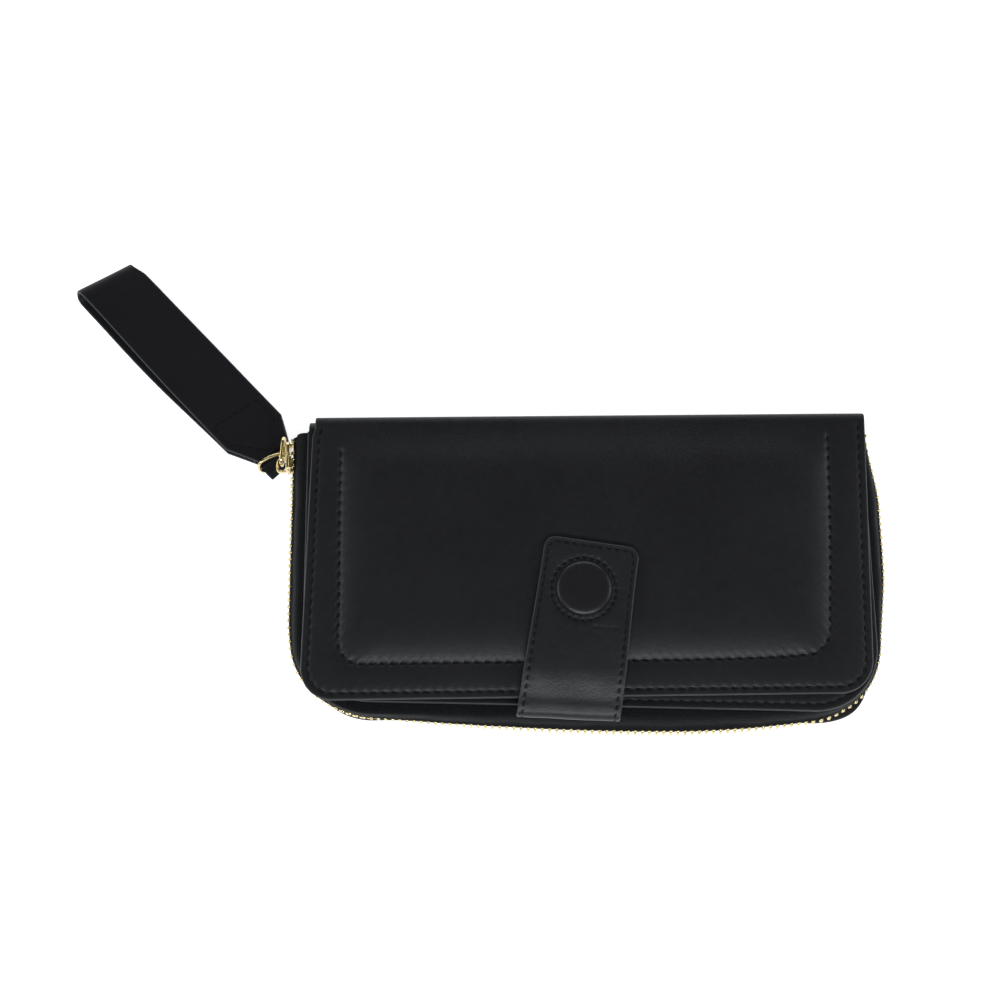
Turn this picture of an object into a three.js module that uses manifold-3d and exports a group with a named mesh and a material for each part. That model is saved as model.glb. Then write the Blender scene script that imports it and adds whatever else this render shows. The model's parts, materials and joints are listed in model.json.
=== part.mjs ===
// Zip around wallet with a snap-tab flap and a wrist loop. Millimetres.
// +X runs along the wallet, +Y points to the spine, +Z up. The origin is the middle of the
// back cover's flat underside.
import * as THREE from 'three';
import { mergeVertices } from 'three/addons/utils/BufferGeometryUtils.js';
import Module from 'manifold-3d';

const wasm = await Module();
wasm.setup();
const { clamp, degToRad } = THREE.MathUtils;

// ---- driving dimensions ----
const GAP = 0.3;
const LEATHER = 1.2;
const LINING = 0.6;
const BOARD = 1;
const LEAF_HALF = 94;
const LEAF_BOTTOM = -48;
const LEAF_TOP = 46.8;
const LEAF_CORNER = 22;
const SPINE_CORNER = 3;
const BACK_THICK = 1.4;
const CARD_HALF = 84;
const INNER_HALF = 74;
const INNER_LOW = -41;
const REAR_CARD_MOUTHS = [20, 8];
const BACK_CORNER = 23;
const BACK_MARGIN = 1;
const LINING_INSET = 3;
const ZIP_MID_Z = 9.15;

// Heights of the layers, each the underside of its layer.
const Z_BOARD = BACK_THICK + GAP;
const Z_BACK_LINING = 3.0;
const Z_REAR_CARDS = [3.9, 4.8];
const Z_COIN_BACK = 5.7;
const Z_COIN_FRONT = 8.4;
const Z_MIDDLE_LINING = 15.0;
const Z_MIDDLE_BOARD = 15.9;
const Z_MIDDLE_LEATHER = 17.2;
const Z_SLIP = 18.7;
const Z_FRONT_CARDS = [20.5, 19.6];
const Z_FRONT_LINING = 21.3;
const Z_FLAP = 22.2;

// Zip: tapes swell outwards from the leaves, and the teeth meet half way up.
const TAPE = 0.7;
const TAPE_FLANGE = 8;
const TAPE_FOLD_Z = [BACK_THICK + GAP + TAPE / 2, Z_MIDDLE_LEATHER - GAP - TAPE / 2];
const TAPE_EDGE = 1.7;
const ZIP_SIDE = 6;
const ZIP_LEFT_CORNER = 0.8;
const ZIP_BOTTOM = 7;
const ZIP_RIGHT_CORNER = 2.8;
const ZIP_RIGHT_END = 3;
const TOOTH_PITCH = 2.33;
// One modelled tooth stands for three of the real pitch.
const TOOTH_STEP = 3 * TOOTH_PITCH;
const TOOTH_LENGTH = 3.2;
const TOOTH_THICK = 1.8;

// Flap.
const FLAP_LEFT = -94;
const FLAP_RIGHT = 91.5;
const FLAP_BOTTOM = -44.5;
const FLAP_CORNER = 11;
const FLAP_CROWN = 2.2;
const PAD_INSET = 13.5;

// Snap tab, turned a little from square.
const TAB_TURN = degToRad(-9);
const TAB_FOOT = [-7.6, -46.5];
const TAB_HALF = 15.6;
const TAB_LENGTH = 51.8;
const TAB_Z = 26.6;
const SNAP = [-2.1, -10.3];
const CAP_RADIUS = 9;

// Slider, ring and wrist loop.
const SLIDER_Y = 40.2;
const SLIDER_LENGTH = 10.4;
const STRAP_TURN = degToRad(134.5);
const RING_TURN = degToRad(212);
const STRAP_PIN = [-107.4, 38.8, 3.6];
const WIRE = 0.45;

const wallet = new THREE.Group();
const skin = { color: 0x201f21, roughness: 0.5, metalness: 0 };
const cloth = { color: 0x111113, roughness: 0.9, metalness: 0 };
const card = { color: 0x4a4640, roughness: 0.9, metalness: 0 };
const gold = { color: 0xcfb163, roughness: 0.28, metalness: 1 };
const steel = { color: 0x8d8d90, roughness: 0.3, metalness: 1 };

function add(name, geometry, finish) {
  const mesh = new THREE.Mesh(geometry, new THREE.MeshStandardMaterial(finish));
  mesh.name = name;
  wallet.add(mesh);
}

// ---- shape helpers ----
const v2 = (x, y) => new THREE.Vector2(x, y);
const v3 = (x, y, z) => new THREE.Vector3(x, y, z);

// Rounded rectangle: x0..x1, y0..y1, corner radii at the bottom and at the top.
function panel(x0, x1, y0, y1, low, high) {
  const shape = new THREE.Shape();
  shape.absarc(x1 - low, y0 + low, low, -Math.PI / 2, 0);
  shape.absarc(x1 - high, y1 - high, high, 0, Math.PI / 2);
  shape.absarc(x0 + high, y1 - high, high, Math.PI / 2, Math.PI);
  shape.absarc(x0 + low, y0 + low, low, Math.PI, 1.5 * Math.PI);
  return shape;
}

function plate(shape, z, thick) {
  const options = { depth: thick, bevelEnabled: false, curveSegments: 3 };
  return new THREE.ExtrudeGeometry(shape, options).translate(0, 0, z);
}

function bare(geometry) {
  geometry.deleteAttribute('normal');
  geometry.deleteAttribute('uv');
  return mergeVertices(geometry, 1e-4);
}

function toManifold(geometry) {
  const clean = bare(geometry.clone());
  return new wasm.Manifold(new wasm.Mesh({
    numProp: 3,
    vertProperties: new Float32Array(clean.attributes.position.array),
    triVerts: new Uint32Array(clean.index.array),
  }));
}

function fromManifold(manifold) {
  const mesh = manifold.getMesh();
  const geometry = new THREE.BufferGeometry();
  const [places, corners] = [new Float32Array(mesh.vertProperties), new Uint32Array(mesh.triVerts)];
  geometry.setAttribute('position', new THREE.BufferAttribute(places, 3));
  geometry.setIndex(new THREE.BufferAttribute(corners, 1));
  return geometry;
}

const cut = (body, ...tools) => fromManifold(
  tools.reduce((left, tool) => left.subtract(toManifold(tool)), toManifold(body)));
const join = (body, ...others) => fromManifold(
  others.reduce((left, other) => left.add(toManifold(other)), toManifold(body)));
const common = (a, b) => fromManifold(toManifold(a).intersect(toManifold(b)));

// A flat ring of points, seen square on.
function outlineOf(ring) {
  const normal = v3(0, 0, 0);
  ring.forEach((p, i) => normal.add(p.clone().cross(ring[(i + 1) % ring.length])));
  normal.normalize();
  const u = (Math.abs(normal.z) < 0.9 ? v3(0, 0, 1) : v3(1, 0, 0)).cross(normal).normalize();
  const v = normal.clone().cross(u);
  return ring.map((p) => v2(p.dot(u), p.dot(v)));
}

// Geometry of a closed surface, turned so that its faces point out.
function closedBody(points, faces) {
  let volume = 0;
  for (let i = 0; i < faces.length; i += 3) {
    const [a, b, c] = [points[faces[i]], points[faces[i + 1]], points[faces[i + 2]]];
    volume += a.dot(b.clone().cross(c));
  }
  if (volume < 0) faces.reverse();
  const geometry = new THREE.BufferGeometry();
  const places = points.flatMap((p) => p.toArray());
  geometry.setAttribute('position', new THREE.Float32BufferAttribute(places, 3));
  geometry.setIndex(faces);
  return geometry;
}

// Closed body through a row of flat rings with equal point counts.
function loft(rings) {
  const count = rings[0].length;
  const points = rings.flat();
  const faces = [];
  for (let i = 0; i + 1 < rings.length; i += 1) {
    for (let j = 0; j < count; j += 1) {
      const a = i * count + j;
      const b = i * count + ((j + 1) % count);
      faces.push(a, b, b + count, a, b + count, a + count);
    }
  }
  const cap = (ring, first, facing) => {
    const outline = outlineOf(ring);
    for (const [a, b, c] of THREE.ShapeUtils.triangulateShape(outline, [])) {
      const side = THREE.ShapeUtils.area([outline[a], outline[b], outline[c]]) * facing;
      faces.push(first + a, first + (side > 0 ? b : c), first + (side > 0 ? c : b));
    }
  };
  cap(rings[0], 0, -1);
  cap(rings.at(-1), (rings.length - 1) * count, 1);
  return closedBody(points, faces);
}

// Strip of even thickness along a smooth line of [x, z] points, running from -half to half in Y.
function strip(line, thick, half) {
  const curve = new THREE.CatmullRomCurve3(line.map(([x, z]) => v3(x, 0, z)), false, 'centripetal');
  const steps = line.length * 2;
  const rings = [];
  for (let i = 0; i <= steps; i += 1) {
    const p = curve.getPoint(i / steps);
    const t = curve.getTangent(i / steps);
    const off = v3(-t.z, 0, t.x).multiplyScalar(thick / 2);
    const [above, below] = [p.clone().add(off), p.clone().sub(off)];
    const at = (q, y) => v3(q.x, y, q.z);
    rings.push([at(above, -half), at(below, -half), at(below, half), at(above, half)]);
  }
  return loft(rings);
}

// Round wire along a closed path.
function hoop(path, radius) {
  const [steps, sides] = [30, 8];
  const { normals, binormals } = path.computeFrenetFrames(steps, true);
  const points = [];
  const faces = [];
  for (let i = 0; i < steps; i += 1) {
    const centre = path.getPointAt(i / steps);
    for (let j = 0; j < sides; j += 1) {
      const a = j / sides * 2 * Math.PI;
      points.push(centre.clone().addScaledVector(normals[i], radius * Math.cos(a))
        .addScaledVector(binormals[i], radius * Math.sin(a)));
      const [here, beside] = [i * sides + j, i * sides + ((j + 1) % sides)];
      const [ahead, across] = [((i + 1) % steps) * sides + j, ((i + 1) % steps) * sides + ((j + 1) % sides)];
      faces.push(here, beside, across, here, across, ahead);
    }
  }
  return closedBody(points, faces);
}

function lathe(profile, segments, [x, y, z]) {
  const points = profile.map(([r, h]) => v2(r, h));
  return new THREE.LatheGeometry(points, segments).rotateX(Math.PI / 2).translate(x, y, z);
}

// ---- zip ----
const SIDE_RUN = LEAF_TOP - (LEAF_BOTTOM + LEAF_CORNER);
const CORNER_RUN = LEAF_CORNER * Math.PI / 2;
const BOTTOM_RUN = 2 * (LEAF_HALF - LEAF_CORNER);
const ZIP_RUN = 2 * SIDE_RUN + 2 * CORNER_RUN + BOTTOM_RUN;

// Point and outward normal on the leaf's edge, s from the top left down and round.
function leafEdge(s) {
  const x = LEAF_HALF - LEAF_CORNER;
  const y = LEAF_BOTTOM + LEAF_CORNER;
  const arc = (centre, start, along) => {
    const a = start + along / LEAF_CORNER;
    const normal = v2(Math.cos(a), Math.sin(a));
    return { at: v2(centre, y).addScaledVector(normal, LEAF_CORNER), normal };
  };
  if (s <= SIDE_RUN) return { at: v2(-LEAF_HALF, LEAF_TOP - s), normal: v2(-1, 0) };
  s -= SIDE_RUN;
  if (s <= CORNER_RUN) return arc(-x, Math.PI, s);
  s -= CORNER_RUN;
  if (s <= BOTTOM_RUN) return { at: v2(s - x, LEAF_BOTTOM), normal: v2(0, -1) };
  s -= BOTTOM_RUN;
  if (s <= CORNER_RUN) return arc(x, -Math.PI / 2, s);
  return { at: v2(LEAF_HALF, y + s - CORNER_RUN), normal: v2(1, 0) };
}

// How far the zip stands out of the leaf's edge: most at the sides and right of the middle below.
function swell(s) {
  const ease = (a, b, t) => a + (b - a) * (0.5 - 0.5 * Math.cos(Math.PI * clamp(t, 0, 1)));
  const left = SIDE_RUN + CORNER_RUN - 6;
  const peak = left + 108;
  const right = peak + 52;
  if (s < left) return ease(ZIP_SIDE, ZIP_LEFT_CORNER, (s - 62) / (left - 62));
  if (s < peak) {
    const part = Math.sin(Math.PI / 2 * (s - left) / (peak - left));
    return ZIP_LEFT_CORNER + (ZIP_BOTTOM - ZIP_LEFT_CORNER) * part;
  }
  if (s < right) {
    const part = Math.cos(Math.PI / 2 * (s - peak) / (right - peak));
    return ZIP_RIGHT_CORNER + (ZIP_BOTTOM - ZIP_RIGHT_CORNER) * part;
  }
  const side = ease(ZIP_RIGHT_CORNER, ZIP_SIDE, (s - right - 17) / 36);
  return ease(ZIP_RIGHT_END, side, (ZIP_RUN - s) / 27);
}

function onZip(s, out, z) {
  const { at, normal } = leafEdge(s);
  return v3(at.x + normal.x * out, at.y + normal.y * out, z);
}

// Flat flange under the leaf, then a quarter ellipse out to the teeth.
function tapeRing(s, foldZ, edgeZ) {
  const reach = swell(s) - TAPE / 2;
  const rise = edgeZ - foldZ;
  const side = Math.sign(rise);
  const outer = [];
  const inner = [];
  for (let i = 0; i <= 4; i += 1) {
    const a = i / 4 * Math.PI / 2;
    const run = v2(reach * Math.cos(a), Math.abs(rise) * Math.sin(a)).normalize();
    const out = reach * Math.sin(a);
    const z = foldZ + rise * (1 - Math.cos(a));
    outer.push(onZip(s, out + run.y * TAPE / 2, z - side * run.x * TAPE / 2));
    inner.push(onZip(s, out - run.y * TAPE / 2, z + side * run.x * TAPE / 2));
  }
  return [
    onZip(s, -TAPE_FLANGE, foldZ - side * TAPE / 2),
    ...outer,
    ...inner.reverse(),
    onZip(s, -TAPE_FLANGE, foldZ + side * TAPE / 2),
  ];
}

function tape(foldZ, edgeZ) {
  const stations = 44;
  const rings = [];
  for (let i = 0; i <= stations; i += 1) rings.push(tapeRing(i / stations * ZIP_RUN, foldZ, edgeZ));
  return loft(rings);
}

// Bead with teeth. The upper row is half a step along, so that the teeth pass between each other.
function teeth(start, baseZ, rootZ, tipZ) {
  const rings = [];
  const ring = (s, z) => {
    const out = swell(s) + 0.5;
    rings.push([onZip(s, out - TOOTH_THICK, baseZ), onZip(s, out, baseZ), onZip(s, out, z),
      onZip(s, out - TOOTH_THICK, z)]);
  };
  ring(start, rootZ);
  for (let s = start + 0.2; s + TOOTH_STEP < ZIP_RUN; s += TOOTH_STEP) {
    ring(s, rootZ);
    ring(s + 0.1, tipZ);
    ring(s + TOOTH_LENGTH - 0.1, tipZ);
    ring(s + TOOTH_LENGTH, rootZ);
  }
  return loft(rings);
}

// Small stop crimped on a tape's edge at the end of its row of teeth.
function endStop(name, s, z) {
  const { x, y } = onZip(s, swell(s) - 0.3, z);
  add(name, new THREE.BoxGeometry(1.9, 1, 1.2).translate(x, y, z), gold);
}

// ---- back leaf ----
// Stiffening board between the zip's flanges.
function boardOutline() {
  const half = LEAF_HALF - TAPE_FLANGE - GAP;
  return panel(-half, half, LEAF_BOTTOM + TAPE_FLANGE + GAP, LEAF_TOP, LEAF_CORNER - TAPE_FLANGE, 2);
}

function liningOutline() {
  const half = LEAF_HALF - LINING_INSET;
  return panel(-half, half, LEAF_BOTTOM + LINING_INSET, LEAF_TOP - 0.8, LEAF_CORNER - LINING_INSET, 2);
}

function backLeaf() {
  const half = LEAF_HALF + BACK_MARGIN;
  const back = panel(-half, half, LEAF_BOTTOM - BACK_MARGIN, LEAF_TOP, BACK_CORNER, SPINE_CORNER);
  add('back_cover', plate(back, 0, BACK_THICK), skin);
  add('lower_tape', tape(TAPE_FOLD_Z[0], ZIP_MID_Z - TAPE_EDGE), cloth);
  const row = [ZIP_MID_Z - TAPE_EDGE + GAP, ZIP_MID_Z - 0.75, ZIP_MID_Z + 0.5];
  add('lower_teeth', teeth(4, ...row), gold);
  add('back_board', plate(boardOutline(), Z_BOARD, BOARD), card);
  add('back_lining', plate(liningOutline(), Z_BACK_LINING, LINING), cloth);
  const cards = (mouth) => panel(-INNER_HALF, INNER_HALF, INNER_LOW, mouth, 6, 2);
  add('rear_card_panel_upper', plate(cards(REAR_CARD_MOUTHS[0]), Z_REAR_CARDS[0], LINING), skin);
  add('rear_card_panel_lower', plate(cards(REAR_CARD_MOUTHS[1]), Z_REAR_CARDS[1], LINING), skin);
}

// ---- coin pocket with its own zip, sewn to the back leaf ----
const COIN_MOUTH = 30;
const COIN_TOP = 38.4;
const COIN_WALL = 0.8;
const COIN_ZIP_Y = 34.2;
const COIN_ZIP_Z = 8.7;

function coinPocket() {
  const back = panel(-INNER_HALF, INNER_HALF, INNER_LOW, COIN_TOP, 10, 2);
  add('coin_pocket_back', plate(back, Z_COIN_BACK, LINING), cloth);
  const under = Z_COIN_BACK + LINING + GAP;
  const face = panel(-INNER_HALF, INNER_HALF, INNER_LOW, COIN_MOUTH, 10, 2);
  const half = INNER_HALF - COIN_WALL;
  const bag = panel(-half, half, INNER_LOW + COIN_WALL, COIN_MOUTH + 5, 9, 2);
  const outer = plate(face, under, Z_COIN_FRONT + LINING - under);
  add('coin_pocket_front', cut(outer, plate(bag, under - 1, Z_COIN_FRONT - under + 1)), cloth);
}

// Block centred on the small zip, moved by x, y and z.
function onCoinZip(length, width, height, x, y, z) {
  return new THREE.BoxGeometry(length, width, height).translate(x, COIN_ZIP_Y + y, COIN_ZIP_Z + z);
}

function coinZip() {
  const half = INNER_HALF - 3;
  const front = COIN_ZIP_Y - 1.3 - (COIN_MOUTH + GAP);
  const rear = COIN_TOP - 0.2 - (COIN_ZIP_Y + 1.3);
  add('coin_zip_tape_front', onCoinZip(2 * half, front, 0.5, 0, -1.3 - front / 2, 0), cloth);
  add('coin_zip_tape_rear', onCoinZip(2 * half, rear, 0.5, 0, 1.3 + rear / 2, 0), cloth);
  add('coin_zip_teeth', onCoinZip(2 * half - 5, 2, 1, 1, 0, 0), gold);
  // Channel round the teeth, joined outside the end of the row, with a bridge on top.
  const x = -half + 5;
  const shell = onCoinZip(7, 4.4, 3.4, x, 0, 0);
  const channel = onCoinZip(8, 2.6, 1.6, x, 0, 0);
  const slot = onCoinZip(8, 6, 1.1, x, 0, 0);
  const post = onCoinZip(1, 2.4, 3.4, x - 3, 0, 0);
  const arch = onCoinZip(4.6, 1.6, 2, x, 0, 2.6);
  const eye = onCoinZip(3, 3, 1.3, x, 0, 2.35);
  add('coin_slider', cut(join(cut(shell, channel, slot), post, arch), eye), gold);
  const outline = panel(x - 1, x + 17, COIN_ZIP_Y - 2.6, COIN_ZIP_Y + 2.6, 1.6, 1.6);
  outline.holes.push(panel(x, x + 5, COIN_ZIP_Y - 1.5, COIN_ZIP_Y + 1.5, 0.3, 0.3));
  add('coin_puller', plate(outline, COIN_ZIP_Z + 2.05, 0.6), gold);
}

// ---- folded gussets between the back leaf and the middle leaf ----
function gusset(name, side) {
  const fold = [
    [88, 4.2], [80, 5.6], [76, 6.9], [80, 8.2], [88, 9.4], [80, 10.6], [76, 11.9], [80, 13.2], [88, 14.4],
  ];
  add(name, strip(fold.map(([x, z]) => [side * x, z]), 0.5, 37).translate(0, 7, 0), cloth);
}

// ---- spine ----
function spine(name, line) {
  add(name, strip(line, LEATHER, LEAF_HALF - 1).rotateZ(Math.PI / 2), skin);
}

function spines() {
  spine('spine_lower',
    [[47.8, 0.7], [49.6, 1.6], [50.4, 4.5], [50.6, 9], [50.4, 13.5], [49.6, 16.8], [47.8, 17.8]]);
  spine('spine_upper', [[47.8, 19.2], [49.4, 19.6], [50.1, 20.8], [49.4, 22.3], [47.8, 22.8]]);
}

// ---- middle leaf ----
function middleLeaf() {
  const leaf = panel(-LEAF_HALF, LEAF_HALF, LEAF_BOTTOM, LEAF_TOP, LEAF_CORNER, SPINE_CORNER);
  add('middle_leather', plate(leaf, Z_MIDDLE_LEATHER, LEATHER), skin);
  add('upper_tape', tape(TAPE_FOLD_Z[1], ZIP_MID_Z + TAPE_EDGE), cloth);
  const row = [ZIP_MID_Z + TAPE_EDGE - GAP, ZIP_MID_Z + 0.75, ZIP_MID_Z - 0.5];
  add('upper_teeth', teeth(4 + TOOTH_STEP / 2, ...row), gold);
  add('middle_board', plate(boardOutline(), Z_MIDDLE_BOARD, BOARD), card);
  add('middle_lining', plate(liningOutline(), Z_MIDDLE_LINING, LINING), cloth);
  add('slip_panel', plate(panel(-CARD_HALF, CARD_HALF, -26, 30, 2, 2), Z_SLIP, LINING), skin);
}

function endStops() {
  for (const [side, s] of [['left', 0.6], ['right', ZIP_RUN - 0.6]]) {
    endStop(`end_stop_${side}_lower`, s, ZIP_MID_Z - 0.8);
    endStop(`end_stop_${side}_upper`, s, ZIP_MID_Z + 0.8);
  }
}

// ---- flap ----
// Rounded outline with a fixed number of points, drawn in by inset.
function flapRing(inset, z) {
  const ring = [];
  // x, y is the outline's square corner, and sideX, sideY point from it into the flap.
  const corner = (x, sideX, y, sideY, radius, start) => {
    const r = Math.max(radius - inset, 0.8);
    const centre = inset + r;
    for (let i = 0; i <= 5; i += 1) {
      const a = start + i / 5 * Math.PI / 2;
      ring.push(v3(x + centre * sideX + r * Math.cos(a), y + centre * sideY + r * Math.sin(a), z));
    }
  };
  corner(FLAP_RIGHT, -1, FLAP_BOTTOM, 1, FLAP_CORNER, -Math.PI / 2);
  corner(FLAP_RIGHT, -1, LEAF_TOP, -1, SPINE_CORNER, 0);
  corner(FLAP_LEFT, 1, LEAF_TOP, -1, SPINE_CORNER, Math.PI / 2);
  corner(FLAP_LEFT, 1, FLAP_BOTTOM, 1, FLAP_CORNER, Math.PI);
  return ring;
}

function flap() {
  const top = Z_FLAP + LEATHER;
  const crown = [
    [0, 0], [PAD_INSET - 3.5, 0], [PAD_INSET - 1.5, 0.25], [PAD_INSET + 4, 0.8], [PAD_INSET + 14, 1],
  ];
  const rings = [
    ...crown.toReversed().map(([inset, lift]) => flapRing(inset, Z_FLAP + lift * FLAP_CROWN)),
    ...crown.map(([inset, lift]) => flapRing(inset, top + lift * FLAP_CROWN)),
  ];
  add('flap_leather', loft(rings), skin);
  const edge = PAD_INSET + 1.5;
  const board = panel(FLAP_LEFT + edge, FLAP_RIGHT - edge, FLAP_BOTTOM + edge, LEAF_TOP - edge, 4, 2);
  add('flap_board', plate(board, Z_FLAP - 0.1, 0.5), card);
  const pad = [[PAD_INSET + 4, 0], [PAD_INSET + 5, 0.7], [PAD_INSET + 15, 1.15]];
  add('flap_pad', loft(pad.map(([inset, lift]) => flapRing(inset, Z_FLAP + 0.7 + lift))), card);
  const [left, right] = [FLAP_LEFT + LINING_INSET, FLAP_RIGHT - LINING_INSET];
  const low = FLAP_BOTTOM + LINING_INSET;
  const lining = panel(left, right, low, LEAF_TOP - 0.8, FLAP_CORNER - LINING_INSET, 2);
  add('flap_lining', plate(lining, Z_FRONT_LINING, 0.5), cloth);
  const cards = (mouth) => panel(-CARD_HALF, CARD_HALF, -23, mouth, 2, 2);
  add('flap_card_panel_upper', plate(cards(26), Z_FRONT_CARDS[0], 0.5), skin);
  add('flap_card_panel_lower', plate(cards(12), Z_FRONT_CARDS[1], 0.5), skin);
  const base = Z_FLAP + LEATHER + FLAP_CROWN + GAP;
  const stud = [[0, 0], [4.6, 0], [4.6, 0.4], [1.7, 0.4], [1.7, 1.2], [2, 1.6], [1.7, 2], [0, 2]];
  add('snap_stud', lathe(stud, 16, [...SNAP, base]), steel);
}

// ---- snap tab: anchor sewn to the middle leaf, fold round the flap's edge, tab over the flap ----
// Turns a shape made along +Y about the origin into the tab's place.
function onTab(geometry) {
  return geometry.rotateZ(TAB_TURN).translate(...TAB_FOOT, 0);
}

function tabPlate(u0, z, thick, inset) {
  const half = TAB_HALF - inset;
  const shape = panel(-half, half, u0, TAB_LENGTH - inset, 0.2, 4);
  return onTab(plate(shape, z, thick));
}

function snapTab() {
  const anchor = panel(-TAB_HALF, TAB_HALF, 3, 15, 0.2, 2);
  add('tab_anchor', onTab(plate(anchor, Z_SLIP, LEATHER)), skin);
  const fold = [[2.4, 19.3], [-1.5, 19.5], [-4.2, 22.6], [-3.2, 25.2], [0.6, 26.5], [2.6, 27.0]];
  add('tab_fold', onTab(strip(fold, 1.6, TAB_HALF).rotateZ(Math.PI / 2)), skin);
  const drill = (radius) => new THREE.CylinderGeometry(radius, radius, 6, 20).rotateX(Math.PI / 2)
    .translate(...SNAP, TAB_Z);
  add('tab_lining', cut(tabPlate(3.2, TAB_Z - 0.6, 0.6, 0.6), drill(5.4)), cloth);
  add('tab_leather', cut(tabPlate(3.2, TAB_Z + GAP, 1.1, 0), drill(2.4)), skin);
  const ring = [[2.4, 0], [5, 0], [5, 0.4], [2.4, 0.4], [2.4, 0]];
  add('snap_socket', lathe(ring, 20, [...SNAP, TAB_Z - 0.25]), steel);
  const capZ = TAB_Z + 2 * GAP + 1.1;
  const rim = CAP_RADIUS;
  const cap = [[0, 0], [rim, 0], [rim, 0.7], [rim - 0.6, 1.3], [rim - 2, 1.7], [0, 1.9]];
  add('snap_cap', lathe(cap, 28, [...SNAP, capZ]), skin);
}

// ---- slider on the left side, puller, ring ----
const PULLER_PIN = [-(LEAF_HALF + 10.45), SLIDER_Y - 3.2];
const PULLER_TURN = degToRad(86);

function sliderBody() {
  const out = (n) => -(LEAF_HALF + n);
  const box = (n0, n1, y0, y1, z0, z1) => new THREE.BoxGeometry(n1 - n0, y1 - y0, z1 - z0)
    .translate((out(n0) + out(n1)) / 2, (y0 + y1) / 2, (z0 + z1) / 2);
  const [y0, y1] = [SLIDER_Y - SLIDER_LENGTH / 2, SLIDER_Y + SLIDER_LENGTH / 2];
  const [z0, z1] = [ZIP_MID_Z - 4.4, ZIP_MID_Z + 4.4];
  const outer = box(6.9, 8, y0, y1, z0, z1);
  const inner = box(3.1, 4.2, y0, y1, z0, z1);
  const outerLip = box(5.9, 7, y0, y1, z0, z0 + 0.8);
  const nose = box(4.1, 7, y1 - 1, y1, ZIP_MID_Z - 1.2, ZIP_MID_Z + 1.2);
  const arch = box(7.9, 12.4, SLIDER_Y - 5.2, SLIDER_Y - 1.2, ZIP_MID_Z - 1.3, ZIP_MID_Z + 1.3);
  const eye = box(9.4, 11.5, SLIDER_Y - 4.3, SLIDER_Y - 2.1, ZIP_MID_Z - 3, ZIP_MID_Z + 3);
  add('slider_body', cut(join(outer, inner, outerLip, nose, arch), eye), gold);
}

function puller() {
  const [reach, tall] = [9.6, 6.4];
  const outline = panel(-0.7, reach, -tall / 2, tall / 2, 1.4, 1.4);
  outline.holes.push(panel(0.55, reach - 1.6, -tall / 2 + 1.5, tall / 2 - 1.5, 1, 1));
  const geometry = plate(outline, -0.55, 1.1).rotateX(Math.PI / 2);
  add('puller', geometry.rotateZ(PULLER_TURN).translate(...PULLER_PIN, ZIP_MID_Z), gold);
}

// Wire ring standing across the tongue. Its low bar lies inside the tongue's fold, its right end
// turns up behind the puller's lower bar and comes back out through the puller's slot.
function ring() {
  const across = v3(Math.cos(RING_TURN), Math.sin(RING_TURN), 0);
  const lean = v3(Math.cos(STRAP_TURN), Math.sin(STRAP_TURN), 0);
  const at = (side, back, up) => v3(...STRAP_PIN).addScaledVector(across, side).addScaledVector(lean, back)
    .add(v3(0, 0, up));
  const path = new THREE.CatmullRomCurve3([
    at(-4, 0, 0), at(0, 0, 0), at(4.4, 0, 0), at(5.8, 0.5, 1.8), at(5.6, 1.1, 5), at(4, 1.4, 6.8),
    at(0, 1.5, 7), at(-3, 1.2, 6.2), at(-5.3, 0.5, 4.9), at(-6, 0.3, 3), at(-5.6, 0.1, 1),
  ], true);
  add('ring', hoop(path, WIRE), gold);
}

// ---- wrist loop ----
const STRAP_HALF = 11.2;
const STRAP_LEATHER = 1.4;
// The strap lies to one side of its tongue, and a little askew.
const STRAP_SHIFT = -3.2;
const STRAP_SKEW = degToRad(1);

function wristLoop() {
  const line = [
    [3, 1.2], [14, 1.05], [40, 1], [66, 1], [84, 1], [89.6, 2.1], [91.4, 4.6], [89.4, 7.1], [84, 7.8],
    [66, 7], [40, 6.2], [14, 5.5], [3, 5.4],
  ];
  const lay = (geometry, turn) => geometry.rotateZ(turn).translate(STRAP_PIN[0], STRAP_PIN[1], 0);
  const outline = new THREE.Shape([
    v2(3, -6), v2(13.5, -STRAP_HALF), v2(100, -STRAP_HALF),
    v2(100, STRAP_HALF), v2(13.5, STRAP_HALF), v2(3, 6),
  ]);
  const loop = strip(line, STRAP_LEATHER, STRAP_HALF + 1);
  const strap = common(loop, plate(outline, -1, 12)).translate(0, STRAP_SHIFT, 0);
  add('wrist_strap', lay(strap, STRAP_TURN - STRAP_SKEW), skin);
  const tongue = [
    [15, 2.75], [9, 2.75], [4, 2.45], [0, 2.1], [-2, 2.3], [-3, 3.6], [-2, 4.9], [0, 5.1], [1.5, 4.8],
    [4, 3.85], [9, 3.85], [15, 3.85],
  ];
  add('strap_tongue', lay(strip(tongue, 0.7, 3.2).translate(0, 1, 0), STRAP_TURN), skin);
}

backLeaf();
coinPocket();
coinZip();
gusset('gusset_left', -1);
gusset('gusset_right', 1);
spines();
middleLeaf();
endStops();
flap();
snapTab();
sliderBody();
puller();
ring();
wristLoop();

export default wallet;
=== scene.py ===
"""Zip around wallet with a padded snap-tab flap and a wrist loop: the looks around the CAD frame.

Helpers work in millimetres and add_piece() turns them into metres.
"""
import json
import math

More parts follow.
